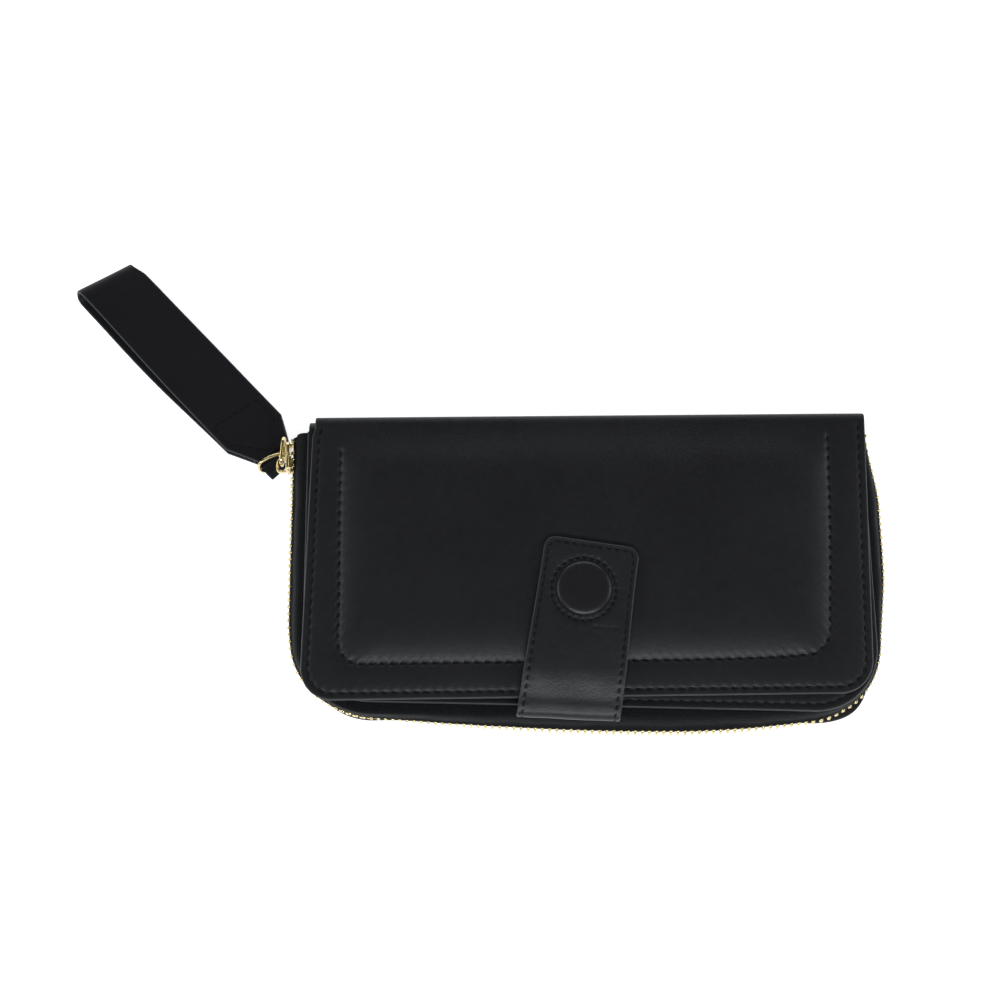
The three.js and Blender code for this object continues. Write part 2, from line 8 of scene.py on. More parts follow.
import bmesh
import bpy
import numpy as np
from mathutils import Euler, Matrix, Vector


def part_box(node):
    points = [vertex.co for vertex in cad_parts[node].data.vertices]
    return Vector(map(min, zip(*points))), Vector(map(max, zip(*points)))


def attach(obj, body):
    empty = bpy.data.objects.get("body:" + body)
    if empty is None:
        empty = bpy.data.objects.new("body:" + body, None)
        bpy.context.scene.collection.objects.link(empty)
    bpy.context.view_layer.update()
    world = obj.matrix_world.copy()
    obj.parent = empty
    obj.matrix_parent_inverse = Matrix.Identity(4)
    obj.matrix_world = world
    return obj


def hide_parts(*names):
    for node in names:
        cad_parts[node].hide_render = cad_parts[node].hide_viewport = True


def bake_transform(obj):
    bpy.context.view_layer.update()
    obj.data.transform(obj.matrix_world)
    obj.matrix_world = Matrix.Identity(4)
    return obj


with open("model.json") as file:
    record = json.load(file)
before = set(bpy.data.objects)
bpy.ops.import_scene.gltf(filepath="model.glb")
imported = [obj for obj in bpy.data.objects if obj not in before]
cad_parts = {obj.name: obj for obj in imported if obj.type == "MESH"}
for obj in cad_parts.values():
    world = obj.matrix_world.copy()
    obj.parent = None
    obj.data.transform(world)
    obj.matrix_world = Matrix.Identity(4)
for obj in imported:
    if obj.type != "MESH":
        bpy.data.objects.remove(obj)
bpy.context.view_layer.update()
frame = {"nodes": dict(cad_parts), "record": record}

MM = 0.001
WELD = 2e-6  # metres


def cad_box(node):
    """Lowest and highest corner of a CAD node, in millimetres."""
    low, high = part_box(node)
    return np.array(low) / MM, np.array(high) / MM


# ---- sizes, from the frame and from the part's own driving dimensions ----
LEAF_LOW, LEAF_HIGH = cad_box("middle_leather")
BACK_LOW, BACK_HIGH = cad_box("back_cover")
FLAP_LOW, FLAP_HIGH = cad_box("flap_leather")
SPINE_Y = LEAF_HIGH[1]
LEAF_HALF = LEAF_HIGH[0]
LEAF_CORNER = 22.0
BACK_CORNER = 23.0
FLAP_CORNER = 11.0
LINING_INSET = 3.0
LEATHER = LEAF_HIGH[2] - LEAF_LOW[2]
ZIP_MID_Z = (cad_box("slider_body")[0][2] + cad_box("slider_body")[1][2]) / 2
FLAP_TOP_Z = FLAP_LOW[2] + LEATHER
PAD_RISE = FLAP_HIGH[2] - FLAP_TOP_Z
TOOTH_PITCH = 2.33
STITCH_PITCH = 3.4
EDGE_ROW = 2.3

# The flap isn't quite square on the wallet: it is drawn a little to the left towards its lower edge,
# and its left end is narrower at the fold.
FLAP_LEFT = FLAP_LOW[0] + 2.3
FLAP_RIGHT = FLAP_HIGH[0] + 2.4
FLAP_SHEAR = 0.0315
FOLD_NARROW = 0.9

# Snap tab, turned a little from square.
TAB_TURN = math.radians(-9)
TAB_FOOT = np.array([-7.1, -46.5])
TAB_HALF = 15.6
TAB_LENGTH = 52.6
TAB_ROW = 1.6
TAB_PITCH = 2.8
TAB_CORNER = 4.0
SNAP_ROW = 10.4
SNAP_STITCHES = 28
SNAP = (cad_box("snap_cap")[0][:2] + cad_box("snap_cap")[1][:2]) / 2
CAP_RADIUS = (cad_box("snap_cap")[1][0] - cad_box("snap_cap")[0][0]) / 2

# Slider, ring and wrist loop.
STRAP_TURN = math.radians(134.5)
RING_TURN = math.radians(212)
STRAP_PIN = np.array([-107.4, 38.8, 3.6])
PULLER_PIN = np.array([-104.45, 37.0, ZIP_MID_Z])
PULLER_TURN = math.radians(86)
PULLER_SHIFT = (0.6, 1.0)

# Insets from a cut edge at which a leather panel has its lines: close together where it rounds over.
EDGE_LINES = [0, 0.04, 0.12, 0.25, 0.42, 0.65, 1.0, 1.5, 1.9, 2.1, 2.3, 2.5, 2.7, 3.1, 3.8, 5, 6.5, 8]


# ---- mesh helpers ----
def add_piece(name, shells, material, body, slot, *nodes, sharp=38, marks=None):
    """Softly shaded mesh object from one or more (points, faces) shells in millimetres. It rides on a
    body and stands for CAD nodes. slot, a material slot's name, is not used."""
    points, faces, count = [], [], 0
    for shell_points, shell_faces in shells:
        points.append(np.asarray(shell_points, float).reshape(-1, 3))
        faces += [[i + count for i in face] for face in shell_faces]
        count += len(points[-1])
    mesh = bpy.data.meshes.new(name)
    mesh.from_pydata((np.concatenate(points) * MM).tolist(), [], faces)
    for key, values in (marks or {}).items():
        attribute = mesh.attributes.new(key, "FLOAT", "POINT")
        attribute.data.foreach_set("value", np.asarray(values, np.float32).ravel())
    work = bmesh.new()
    work.from_mesh(mesh)
    bmesh.ops.remove_doubles(work, verts=work.verts, dist=WELD)
    bmesh.ops.dissolve_degenerate(work, edges=work.edges, dist=WELD / 2)
    bmesh.ops.recalc_face_normals(work, faces=work.faces)
    work.to_mesh(mesh)
    work.free()
    mesh.shade_smooth()
    mesh.set_sharp_from_angle(angle=math.radians(sharp))
    mesh.materials.append(material)
    obj = bpy.data.objects.new(name, mesh)
    bpy.context.scene.collection.objects.link(obj)
    if body:
        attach(obj, body)
    if nodes:
        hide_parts(*nodes)
    return obj


def grid_faces(rows, cols, first, closed):
    """Quads between the points of a grid that starts at point number first."""
    across = cols if closed else cols - 1
    i, j = np.meshgrid(np.arange(rows - 1), np.arange(across), indexing="ij")
    a = first + i * cols + j
    b = first + i * cols + (j + 1) % cols
    return np.stack([a, b, b + cols, a + cols], -1).reshape(-1, 4)


def grid_normals(mid, closed):
    """Unit normal at each point of a grid."""
    down = np.gradient(mid, axis=0)
    along = np.roll(mid, -1, 1) - np.roll(mid, 1, 1) if closed else np.gradient(mid, axis=1)
    normal = np.cross(down, along)
    return normal / np.maximum(np.linalg.norm(normal, axis=-1, keepdims=True), 1e-9)


def thick(mid, above, below, up=None, closed=False):
    """Closed shell round a grid of points, as thick as above and below it. It ends in a sharp line
    where both are 0, and closed joins the last column to the first."""
    rows, cols = mid.shape[:2]
    if up is None:
        up = grid_normals(mid, closed)
    above = np.broadcast_to(above, (rows, cols))[..., None]
    below = np.broadcast_to(below, (rows, cols))[..., None]
    points = np.concatenate([(mid + up * above).reshape(-1, 3), (mid - up * below).reshape(-1, 3)])
    under = rows * cols
    faces = [grid_faces(rows, cols, 0, closed), grid_faces(rows, cols, under, closed)[:, ::-1]]
    row_ends = [np.arange(cols), (rows - 1) * cols + np.arange(cols)]
    if closed:
        row_ends = [np.append(line, line[0]) for line in row_ends]
    else:
        row_ends += [np.arange(rows) * cols, np.arange(rows) * cols + cols - 1]
    for line in row_ends:
        a, b = line[:-1], line[1:]
        faces.append(np.stack([a, b, b + under, a + under], -1))
    return points, np.concatenate(faces).tolist()


def rounded(distance, half, radius=0.5):
    """Half thickness by the distance from a rounded edge."""
    t = np.clip(distance / radius, 0, 1)
    return half * np.sqrt(1 - (1 - t) ** 2)


def smooth(t):
    """Eases from 0 to 1 as t does."""
    t = np.clip(t, 0, 1)
    return t * t * (3 - 2 * t)


def curve_through(points, count, closed=False):
    """Smooth line through control points (centripetal Catmull-Rom), evenly spaced."""
    p = np.asarray(points, float)
    ends = (p[-1:], p[:2]) if closed else (2 * p[:1] - p[1:2], 2 * p[-1:] - p[-2:-1])
    p = np.concatenate([ends[0], p, ends[1]])
    knots = np.concatenate([[0], np.cumsum(np.sqrt(np.linalg.norm(np.diff(p, axis=0), axis=1)))])
    line = []
    for i in range(1, len(p) - 2):
        t = np.linspace(knots[i], knots[i + 1], 24, endpoint=False)[:, None]
        k0, k1, k2, k3 = knots[i - 1:i + 3]
        a1 = (k1 - t) / (k1 - k0) * p[i - 1] + (t - k0) / (k1 - k0) * p[i]
        a2 = (k2 - t) / (k2 - k1) * p[i] + (t - k1) / (k2 - k1) * p[i + 1]
        a3 = (k3 - t) / (k3 - k2) * p[i + 1] + (t - k2) / (k3 - k2) * p[i + 2]
        b1 = (k2 - t) / (k2 - k0) * a1 + (t - k0) / (k2 - k0) * a2
        b2 = (k3 - t) / (k3 - k1) * a2 + (t - k1) / (k3 - k1) * a3
        line.append((k2 - t) / (k2 - k1) * b1 + (t - k1) / (k2 - k1) * b2)
    line = np.concatenate(line + [p[-2:-1]])
    return resample(line, count + 1)[:-1] if closed else resample(line, count)


def lengths(line):
    """Length along a line, at each of its points."""
    return np.concatenate([[0], np.cumsum(np.linalg.norm(np.diff(line, axis=0), axis=1))])


def resample(line, count):
    """The same line, with count points evenly spaced."""
    run = lengths(line)
    at = np.linspace(0, run[-1], count)
    return np.stack([np.interp(at, run, line[:, k]) for k in range(line.shape[1])], -1)


def tube(path, radius, sides=10, closed=False):
    """Round wire along evenly spaced points."""
    path = np.asarray(path, float)
    along = np.roll(path, -1, 0) - np.roll(path, 1, 0) if closed else np.gradient(path, axis=0)
    along /= np.linalg.norm(along, axis=1, keepdims=True)
    side = np.cross(along[0], [0, 0, 1.0])
    if np.linalg.norm(side) < 0.2:
        side = np.cross(along[0], [1.0, 0, 0])
    frames = []
    for tangent in along:
        side = side - tangent * (side @ tangent)
        side /= np.linalg.norm(side)
        frames.append(side)
    twist = 0.0
    if closed:  # spread the twist that is left over the whole loop
        first, last = frames[0], frames[-1]
        twist = math.atan2(np.cross(last, first) @ along[0], last @ first)
    rings = []
    for i, (point, tangent, side) in enumerate(zip(path, along, frames)):
        other = np.cross(tangent, side)
        turn = np.linspace(0, 2 * math.pi, sides, endpoint=False) + twist * i / len(path)
        rings.append(point + radius * (np.cos(turn)[:, None] * side + np.sin(turn)[:, None] * other))
    rows = len(rings)
    faces = grid_faces(rows, sides, 0, True).tolist()
    if closed:
        last = (rows - 1) * sides
        faces += [[last + j, last + (j + 1) % sides, (j + 1) % sides, j] for j in range(sides)]
    else:
        faces += [list(range(sides))[::-1], [(rows - 1) * sides + j for j in range(sides)]]
    return np.concatenate(rings), faces


def lathe(profile, centre, segments=64):
    """Turned shape about +Z. The profile is (radius, height) points; it starts and ends on the axis
    or closes on itself."""
    turn = np.linspace(0, 2 * math.pi, segments, endpoint=False)
    rings = [np.stack([r * np.cos(turn), r * np.sin(turn), np.full(segments, h)], -1) for r, h in profile]
    return np.concatenate(rings) + np.asarray(centre), grid_faces(len(profile), segments, 0, True).tolist()


def flat_cut(outlines, thickness, bevel, place):
    """Plate cut to an outline, with holes, and rounded edges. place maps its (x, y, z) rows."""
    curve = bpy.data.curves.new("outline", "CURVE")
    curve.dimensions = "2D"
    curve.fill_mode = "BOTH"
    curve.extrude = thickness / 2 - bevel
    curve.bevel_depth = bevel
    curve.bevel_resolution = 2
    curve.offset = -bevel
    for outline in outlines:
        spline = curve.splines.new("POLY")
        spline.points.add(len(outline) - 1)
        spline.points.foreach_set("co", [c for x, y in outline for c in (x, y, 0, 1)])
        spline.use_cyclic_u = True
    holder = bpy.data.objects.new("outline", curve)
    mesh = bpy.data.meshes.new_from_object(holder)
    points = np.zeros(len(mesh.vertices) * 3)
    mesh.vertices.foreach_get("co", points)
    faces = [list(face.vertices) for face in mesh.polygons]
    bpy.data.objects.remove(holder)
    bpy.data.meshes.remove(mesh)
    return place(points.reshape(-1, 3)), faces


def round_box(x0, x1, y0, y1, radius, steps=6):
    """Outline of a rectangle with round corners."""
    line = []
    corners = [(x1 - radius, y0 + radius, -90), (x1 - radius, y1 - radius, 0),
               (x0 + radius, y1 - radius, 90), (x0 + radius, y0 + radius, 180)]
    for x, y, start in corners:
        for a in np.radians(np.linspace(start, start + 90, steps)):
            line.append((x + radius * math.cos(a), y + radius * math.sin(a)))
    return line


STITCH_RINGS = 7
STITCH_SIDES = 6
STITCH_SHARE = 0.76


def stitches(path, pitch, up=(0, 0, 1.0), radius=0.24, slant=0.16, lift=0.12, sink=0.34):
    """One short thread for each stitch along a line of points; both ends dive into the leather."""
    path = np.asarray(path, float)
    up = np.broadcast_to(np.asarray(up, float), path.shape)
    run = lengths(path)
    count = max(1, round(run[-1] / pitch))
    step = run[-1] / count
    t = np.linspace(-1, 1, STITCH_RINGS)
    centre = (np.arange(count) + 0.5)[:, None] * step
    at = (centre + t[None, :] * step * STITCH_SHARE / 2).ravel()
    where = np.stack([np.interp(at, run, path[:, k]) for k in range(3)], -1)
    rise = np.stack([np.interp(at, run, up[:, k]) for k in range(3)], -1)
    ahead = np.stack([np.interp(at + 0.05, run, path[:, k]) - np.interp(at - 0.05, run, path[:, k])
                      for k in range(3)], -1)
    ahead /= np.maximum(np.linalg.norm(ahead, axis=1, keepdims=True), 1e-9)
    side = np.cross(ahead, rise)
    bend = np.tile(lift - (lift + sink) * t ** 4, count)[:, None]
    where = where + rise * bend + side * np.tile(slant * t, count)[:, None]
    girth = np.tile(radius * np.sqrt(1.02 - t ** 6 * 0.8), count)[:, None]
    turn = np.linspace(0, 2 * math.pi, STITCH_SIDES + 1)[:-1]
    rings = np.stack([where + girth * (math.cos(a) * side + math.sin(a) * rise) for a in turn], 1)
    faces = []
    caps = []
    for first in range(0, count * STITCH_RINGS * STITCH_SIDES, STITCH_RINGS * STITCH_SIDES):
        faces += grid_faces(STITCH_RINGS, STITCH_SIDES, first, True).tolist()
        last = first + (STITCH_RINGS - 1) * STITCH_SIDES
        caps += [[first + j for j in range(STITCH_SIDES)][::-1], [last + j for j in range(STITCH_SIDES)]]
    return rings.reshape(-1, 3), faces + caps


def stitch_dip(distance, phase, depth=0.2, width=0.62):
    """How far leather is drawn down beside a row of stitches; phase counts stitches. Shallow
    gathers run out from it on both sides."""
    beat = np.cos(2 * math.pi * phase)
    groove = np.exp(-(distance / width) ** 2) * (0.7 - 0.3 * beat)
    gathers = np.exp(-(distance / 1.9) ** 2) * (0.16 - 0.12 * beat)
    return depth * (groove + gathers)


def undulation(x, y, size, height):
    """Gentle unevenness of hand-finished leather."""
    a = np.sin(x / size + 1.3) * np.cos(y / (size * 0.8) + 0.4)
    b = np.sin((x + 1.7 * y) / (size * 1.9) + 2.1)
    return height * (0.6 * a + 0.4 * b)


# ---- U-shaped lines, from the spine down one side, round the bottom and up the other ----
# Shares of the U at which its sides, its corners and its bottom begin and end.
U_KNOTS = np.array([0, 0.23, 0.29, 0.71, 0.77, 1])
# Beyond this inset the lines close up evenly towards the middle of the top edge.
U_EVEN = 30.0


def u_point(shape, f, inset):
    """Point at share f of the U, drawn in by inset. shape is left, right, low, top, corner."""
    left, right, low, top, corner = shape
    f, inset = np.broadcast_arrays(np.asarray(f, float), np.asarray(inset, float))
    depth = top - low
    half = (right - left) / 2
    closing = U_EVEN + (inset - U_EVEN) * (half - 0.8 - U_EVEN) / (depth - U_EVEN)
    wide = np.where(inset < U_EVEN, inset, closing)
    r = np.maximum(corner - inset, np.minimum(8, 0.15 * (depth - inset)))
    xl, xr, y = left + wide + r, right - wide - r, low + inset + r
    part = np.clip(np.searchsorted(U_KNOTS, f, side="right") - 1, 0, 4)
    t = (f - U_KNOTS[part]) / (U_KNOTS[part + 1] - U_KNOTS[part])
    turn = t * math.pi / 2
    x = np.choose(part, [left + wide, xl - r * np.cos(turn), xl + (xr - xl) * t, xr + r * np.sin(turn),
                         right - wide])
    z = np.choose(part, [top + (y - top) * t, y - r * np.sin(turn), low + inset + 0 * t,
                         y - r * np.cos(turn), y + (top - y) * t])
    return np.stack([x, z], -1)


def u_row(shape, inset, count=900):
    """Row along the U: shares, points and lengths. inset is a number or a function of the share."""
    f = np.linspace(0, 1, count)
    line = u_point(shape, f, inset(f) if callable(inset) else inset)
    return f, line, lengths(line)


# ---- materials ----
# Paler tone along the leather's cut edges: a painted highlight for their bright edge lines.
EDGE_HIGHLIGHT_TONE = (0.030, 0.031, 0.034)


class Surface:
    """A material with its shader, and short ways to add to it."""

    def __init__(self, name, color, roughness, metallic=0.0):
        self.material = bpy.data.materials.new(name)
        self.material.use_nodes = True
        self.nodes = self.material.node_tree.nodes
        self.links = self.material.node_tree.links
        self.shader = self.nodes["Principled BSDF"]
        self.shader.inputs["Base Color"].default_value = (*color, 1)
        self.shader.inputs["Roughness"].default_value = roughness
        self.shader.inputs["Metallic"].default_value = metallic

    def node(self, kind, **values):
        """Shader node with its sockets or properties set by name."""
        made = self.nodes.new(kind)
        for key, value in values.items():
            if key in made.inputs:
                made.inputs[key].default_value = value
            else:
                setattr(made, key, value)
        return made

    def place(self):
        """Place on the object, in metres."""
        return self.node("ShaderNodeTexCoord").outputs["Object"]

    def mark(self, name):
        """A mesh's own mark, by its name."""
        return self.node("ShaderNodeAttribute", attribute_name=name).outputs["Fac"]

    def noise(self, scale, detail, **values):
        """Noise over the object, from 0 to 1."""
        texture = self.node("ShaderNodeTexNoise", Scale=scale, Detail=detail, **values)
        self.links.new(self.place(), texture.inputs["Vector"])
        return texture.outputs["Fac"]

    def ribs(self, along, across, slope, pitch):
        """Ridges along + slope * across, as a height from -1 to 1."""
        lean = self.node("ShaderNodeMath", operation="MULTIPLY_ADD")
        lean.inputs[1].default_value = slope
        self.links.new(across, lean.inputs[0])
        self.links.new(along, lean.inputs[2])
        turn = self.node("ShaderNodeMath", operation="MULTIPLY")
        turn.inputs[1].default_value = 2 * math.pi / pitch
        self.links.new(lean.outputs[0], turn.inputs[0])
        wave = self.node("ShaderNodeMath", operation="SINE")
        self.links.new(turn.outputs[0], wave.inputs[0])
        return wave.outputs[0]

    def mix_tones(self, factor, dark, light):
        """Colour between two tones; gives its output."""
        ramp = self.node("ShaderNodeValToRGB")
        ramp.color_ramp.elements[0].position = 0.32
        ramp.color_ramp.elements[1].position = 0.72
        ramp.color_ramp.elements[0].color = (*dark, 1)
        ramp.color_ramp.elements[1].color = (*light, 1)
        self.links.new(factor, ramp.inputs["Fac"])
        self.links.new(ramp.outputs["Color"], self.shader.inputs["Base Color"])
        return ramp.outputs["Color"]

    def vary_roughness(self, factor, low, high):
        """Roughness between low and high."""
        span = self.node("ShaderNodeMapRange")
        span.inputs["To Min"].default_value = low
        span.inputs["To Max"].default_value = high
        self.links.new(factor, span.inputs["Value"])
        self.links.new(span.outputs["Result"], self.shader.inputs["Roughness"])

    def bumps(self, *layers):
        """Bumps one over the other, each a height, a strength and a distance in metres."""
        below = None
        for height, strength, distance in layers:
            bump = self.node("ShaderNodeBump", Strength=strength, Distance=distance)
            self.links.new(height, bump.inputs["Height"])
            if below:
                self.links.new(below.outputs["Normal"], bump.inputs["Normal"])
            below = bump
        self.links.new(below.outputs["Normal"], self.shader.inputs["Normal"])


def leather(name, dark, light, rough, grain=1.0, size=0.00042, gloss=0.36):
    """Fine-grained leather: pebbles, pores, faint wrinkles, a little variation in tone and gloss, and a
    paler tone, a painted highlight, where the edge mark says that the leather is cut."""
    skin = Surface(name, dark, rough[0])
    pebble = skin.node("ShaderNodeTexVoronoi", feature="SMOOTH_F1", Scale=1 / size, Smoothness=0.6)
    skin.links.new(skin.place(), pebble.inputs["Vector"])
    pores = skin.noise(0.9 / size, 3.0, Roughness=0.6)
    wrinkle = skin.noise(0.16 / size, 5.0, Roughness=0.62)
    patch = skin.noise(34.0, 3.0, Roughness=0.55)
    whole = skin.mix_tones(patch, dark, light)
    skin.vary_roughness(wrinkle, *rough)
    skin.bumps((wrinkle, 0.35 * grain, 0.00016), (pores, 0.35 * grain, 0.00005),
               (pebble.outputs["Distance"], 0.5 * grain, 0.00006))
    # Paler tone mixed in at the cut edges: a painted highlight along the edge lines.
    edge_highlight_mix = skin.node("ShaderNodeMix", data_type="RGBA")
    factor, tone, highlight_tone, result = edge_highlight_mix.inputs[0], edge_highlight_mix.inputs[6], edge_highlight_mix.inputs[7], edge_highlight_mix.outputs[2]
    highlight_tone.default_value = (*EDGE_HIGHLIGHT_TONE, 1)
    skin.links.new(skin.mark("edge"), factor)
    skin.links.new(whole, tone)
    skin.links.new(result, skin.shader.inputs["Base Color"])
    skin.shader.inputs["Specular IOR Level"].default_value = gloss
    return skin.material


def edge_highlight_mark(distance):
    """Mark for the painted edge highlight on both sides of a shell, by the distance from its cut edge."""
    return {"edge": np.tile(1 - smooth((distance - 0.2) / 0.4), (2, 1, 1))}


def zip_tape_material():
    """Woven zip tape: cords along its edge and a fine herringbone, laid by the along and across marks,
    which are in millimetres."""
    dark, light = (0.0022, 0.0024, 0.0030), (0.0085, 0.0090, 0.0110)
    tape = Surface("zip_tape_weave", dark, 0.7)
    along, across = tape.mark("along"), tape.mark("across")
    flip = tape.node("ShaderNodeMath", operation="PINGPONG")
    flip.inputs[1].default_value = 1.5
    tape.links.new(across, flip.inputs[0])
    weave = tape.ribs(along, flip.outputs[0], 1.0, 0.55)
    cords = tape.ribs(across, along, 0.0, 0.75)
    fuzz = tape.noise(1500.0, 4.0)
    tape.mix_tones(fuzz, dark, light)
    tape.bumps((cords, 0.5, 0.00009), (weave, 0.6, 0.00007), (fuzz, 0.5, 0.00008))
    tape.shader.inputs["Specular IOR Level"].default_value = 0.15
    return tape.material


def lining_material():
    """Twill lining cloth."""
    dark, light = (0.010, 0.010, 0.012), (0.022, 0.022, 0.026)
    cloth = Surface("lining_twill", dark, 0.62)
    parts = cloth.node("ShaderNodeSeparateXYZ")
    cloth.links.new(cloth.place(), parts.inputs["Vector"])
    twill = cloth.ribs(parts.outputs["X"], parts.outputs["Y"], 1.4, 0.00062)
    weft = cloth.ribs(parts.outputs["Y"], parts.outputs["X"], 0.0, 0.00048)
    slub = cloth.noise(420.0, 5.0)
    cloth.mix_tones(slub, dark, light)
    cloth.bumps((twill, 0.5, 0.00007), (weft, 0.3, 0.00005), (slub, 0.4, 0.0001))
    cloth.shader.inputs["Sheen Weight"].default_value = 0.1
    return cloth.material


def metal(name, color, rough):
    """Polished plating with fine scuffs."""
    plating = Surface(name, color, rough[0], 1.0)
    scuffs = plating.noise(900.0, 6.0, Roughness=0.7)
    cloud = plating.noise(260.0, 2.0)
    plating.mix_tones(cloud, tuple(0.86 * c for c in color), color)
    plating.vary_roughness(scuffs, *rough)
    plating.bumps((scuffs, 0.12, 0.00003))
    return plating.material


def thread_material():
    """Waxed black thread, twisted. Its tone is darker than the leather's: partly the thread's own black,
    partly painted shade of the stitch holes.
    """
    # Thread tones: black thread, darkened further as painted shade of the stitch holes.
    dark, light = (0.0025, 0.0025, 0.003), (0.006, 0.006, 0.008)
    thread = Surface("sewing_thread", dark, 0.5)
    parts = thread.node("ShaderNodeSeparateXYZ")
    thread.links.new(thread.place(), parts.inputs["Vector"])
    twist = thread.ribs(parts.outputs["X"], parts.outputs["Y"], 1.0, 0.0004)
    fuzz = thread.noise(3200.0, 2.0)
    thread.mix_tones(fuzz, dark, light)
    thread.bumps((twist, 0.5, 0.00005), (fuzz, 0.3, 0.00004))
    thread.shader.inputs["Specular IOR Level"].default_value = 0.2
    return thread.material


def fibre_material(name, dark, light, rough, scale):
    """Pressed board or foam: mottled fibres."""
    board = Surface(name, dark, rough)
    fibres = board.noise(scale, 8.0, Roughness=0.7, Distortion=1.5)
    board.mix_tones(fibres, dark, light)
    board.bumps((fibres, 0.5, 0.0001))
    return board.material


SKIN = leather("black_leather", (0.0056, 0.0056, 0.0062), (0.0086, 0.0086, 0.0094), (0.38, 0.54))
SKIN_TAB = leather("tab_leather", (0.0062, 0.0068, 0.0074), (0.0096, 0.0104, 0.0112), (0.36, 0.52),
                   grain=1.6, gloss=0.42)
SKIN_LOOP = leather("loop_leather", (0.0042, 0.0040, 0.0058), (0.0058, 0.0056, 0.0078), (0.5, 0.62),
                    grain=0.7, gloss=0.2)
SKIN_CAP = leather("cap_leather", (0.0072, 0.0068, 0.0084), (0.0094, 0.0088, 0.0108), (0.34, 0.44),
                   grain=0.5, gloss=0.42)
TAPE_CLOTH = zip_tape_material()
LINING_CLOTH = lining_material()
GOLD = metal("pale_gold", (0.80, 0.67, 0.36), (0.16, 0.34))
STEEL = metal("dark_nickel", (0.42, 0.42, 0.44), (0.2, 0.4))
THREAD = thread_material()
BOARD = fibre_material("grey_board", (0.11, 0.10, 0.085), (0.20, 0.18, 0.15), 0.85, 900)
FOAM = fibre_material("foam", (0.05, 0.05, 0.05), (0.10, 0.10, 0.10), 0.9, 1500)


# ---- flap ----
FLAP_SHAPE = (FLAP_LEFT, FLAP_RIGHT, FLAP_LOW[1] + 0.9, SPINE_Y, FLAP_CORNER)


def on_flap(x, y):
    """The flap's slight slant, and its narrower left end at the fold: moves a point of its square
    outline into place."""
    low = smooth((SPINE_Y - y) / (SPINE_Y - FLAP_LOW[1]))
    drawn_in = FOLD_NARROW * np.clip(1 - (SPINE_Y - y) / 3.6, 0, 1) * smooth((-60 - x) / 25)
    return x + (FLAP_SHEAR + 0.00005 * x) * (y - SPINE_Y) + drawn_in, y - low * (1.1 - 0.0046 * x)


def pad_inset(f):
    """Inset of the inner row of stitches: narrow at the upper left, wider below and at the right."""
    below = 1.9 * smooth(f / 0.24)
    right = 1.0 * smooth((f - 0.66) / 0.14)
    return 9.7 + below + right + 1.1 * np.exp(-((f - 0.75) / 0.08) ** 2)


def pad_row_top(x):
    """The inner row stops short of the fold, a little lower at the left."""
    return np.where(x < 0, 38.8, 43.0)


def flap_height(f, inset, x, y):
    """Top surface of the flap: full margin, padded middle, flat by the fold."""
    into = inset - pad_inset(f)
    fade = 1 - smooth((y - 30) / (SPINE_Y - 30))
    rise = PAD_RISE * (1 - np.exp(-(np.maximum(into, 0) / 6.0) ** 1.15)) * fade
    wave = undulation(x, y, 21, 0.10) * smooth(into / 20) * fade
    across = np.clip((inset - EDGE_ROW) / (pad_inset(f) - EDGE_ROW), 0, 1)
    margin = (0.22 + undulation(x, y, 9, 0.06)) * np.sin(math.pi * across) * fade
    return FLAP_TOP_Z + rise + wave + margin


def flap_phases(f):
    """Stitch counts along the outer and the inner row at shares f."""
    counts = []
    for inset in (EDGE_ROW, pad_inset):
        shares, _, run = u_row(FLAP_SHAPE, inset)
        stitch_count = round(run[-1] / STITCH_PITCH)
        counts.append(np.interp(f, shares, run / run[-1] * stitch_count))
    return counts


def make_flap():
    """Padded leather with its two rows of stitches."""
    f = np.linspace(0, 1, 720)[None, :]
    rise_lines = np.arange(8.6, 15, 0.4)
    inner_lines = [16, 17.2, 18.6, 20, 22, 24.5, 27.5, 31, 35, 40, 46, 52, 58, 64, 70, 76, 82]
    depth = FLAP_SHAPE[3] - FLAP_SHAPE[2]
    last_lines = depth - np.array([7, 6, 5, 4, 3.2, 2.4, 1.6, 1, 0.5, 0.02])
    inset = np.array([*EDGE_LINES, *rise_lines, *inner_lines, *last_lines])[:, None]
    flat = u_point(FLAP_SHAPE, f, inset)
    x, y = on_flap(flat[..., 0], flat[..., 1])
    top = flap_height(f, inset, x, y)
    outer_phase, inner_phase = flap_phases(f[0])
    top -= stitch_dip(inset - EDGE_ROW, outer_phase[None, :], 0.26)
    sewn = 1 - smooth((y - pad_row_top(x)) / 2)
    top -= stitch_dip(inset - pad_inset(f), inner_phase[None, :], 0.4, 0.8) * sewn
    mid_z = FLAP_LOW[2] + LEATHER / 2
    mid = np.stack([x, y, np.full(x.shape, mid_z)], -1)
    shape = np.broadcast_to(rounded(inset, 1.0), top.shape)
    hollow = np.maximum(top - FLAP_TOP_Z, 0) * 0.9
    above = (top - mid_z) * shape
    below = (LEATHER / 2) * shape - hollow * shape
    shell = thick(mid, above, below, up=np.array([0, 0, 1.0]))
    cover = add_piece("flap_cover", [shell], SKIN, "flap", "black_leather", "flap_leather",
                      marks=edge_highlight_mark(inset + 0 * x))
    rows = []
    for inset_of, drawn in ((EDGE_ROW, 0.2), (pad_inset, 0.32)):
        shares, line, _ = u_row(FLAP_SHAPE, inset_of)
        px, py = on_flap(line[:, 0], line[:, 1])
        inner = inset_of(shares) if callable(inset_of) else np.full(len(shares), inset_of)
        row = np.stack([px, py, flap_height(shares, inner, px, py) - drawn], -1)
        if callable(inset_of):
            row = row[py < pad_row_top(px)]
        rows.append(stitches(row, STITCH_PITCH, radius=0.27))
    add_piece("flap_stitches", rows, THREAD, "flap", "black_leather")


# ---- spine ----
def fold_creases(x, z):
    """Depth of the creases where the spine's leather bends."""
    fold = 0.10 * np.exp(-((z - 9) / 1.1) ** 2)
    return fold + 0.06 * np.sin(x / 6.3 + 1.7 * z / 3) + 0.05 * np.sin(x / 2.9)


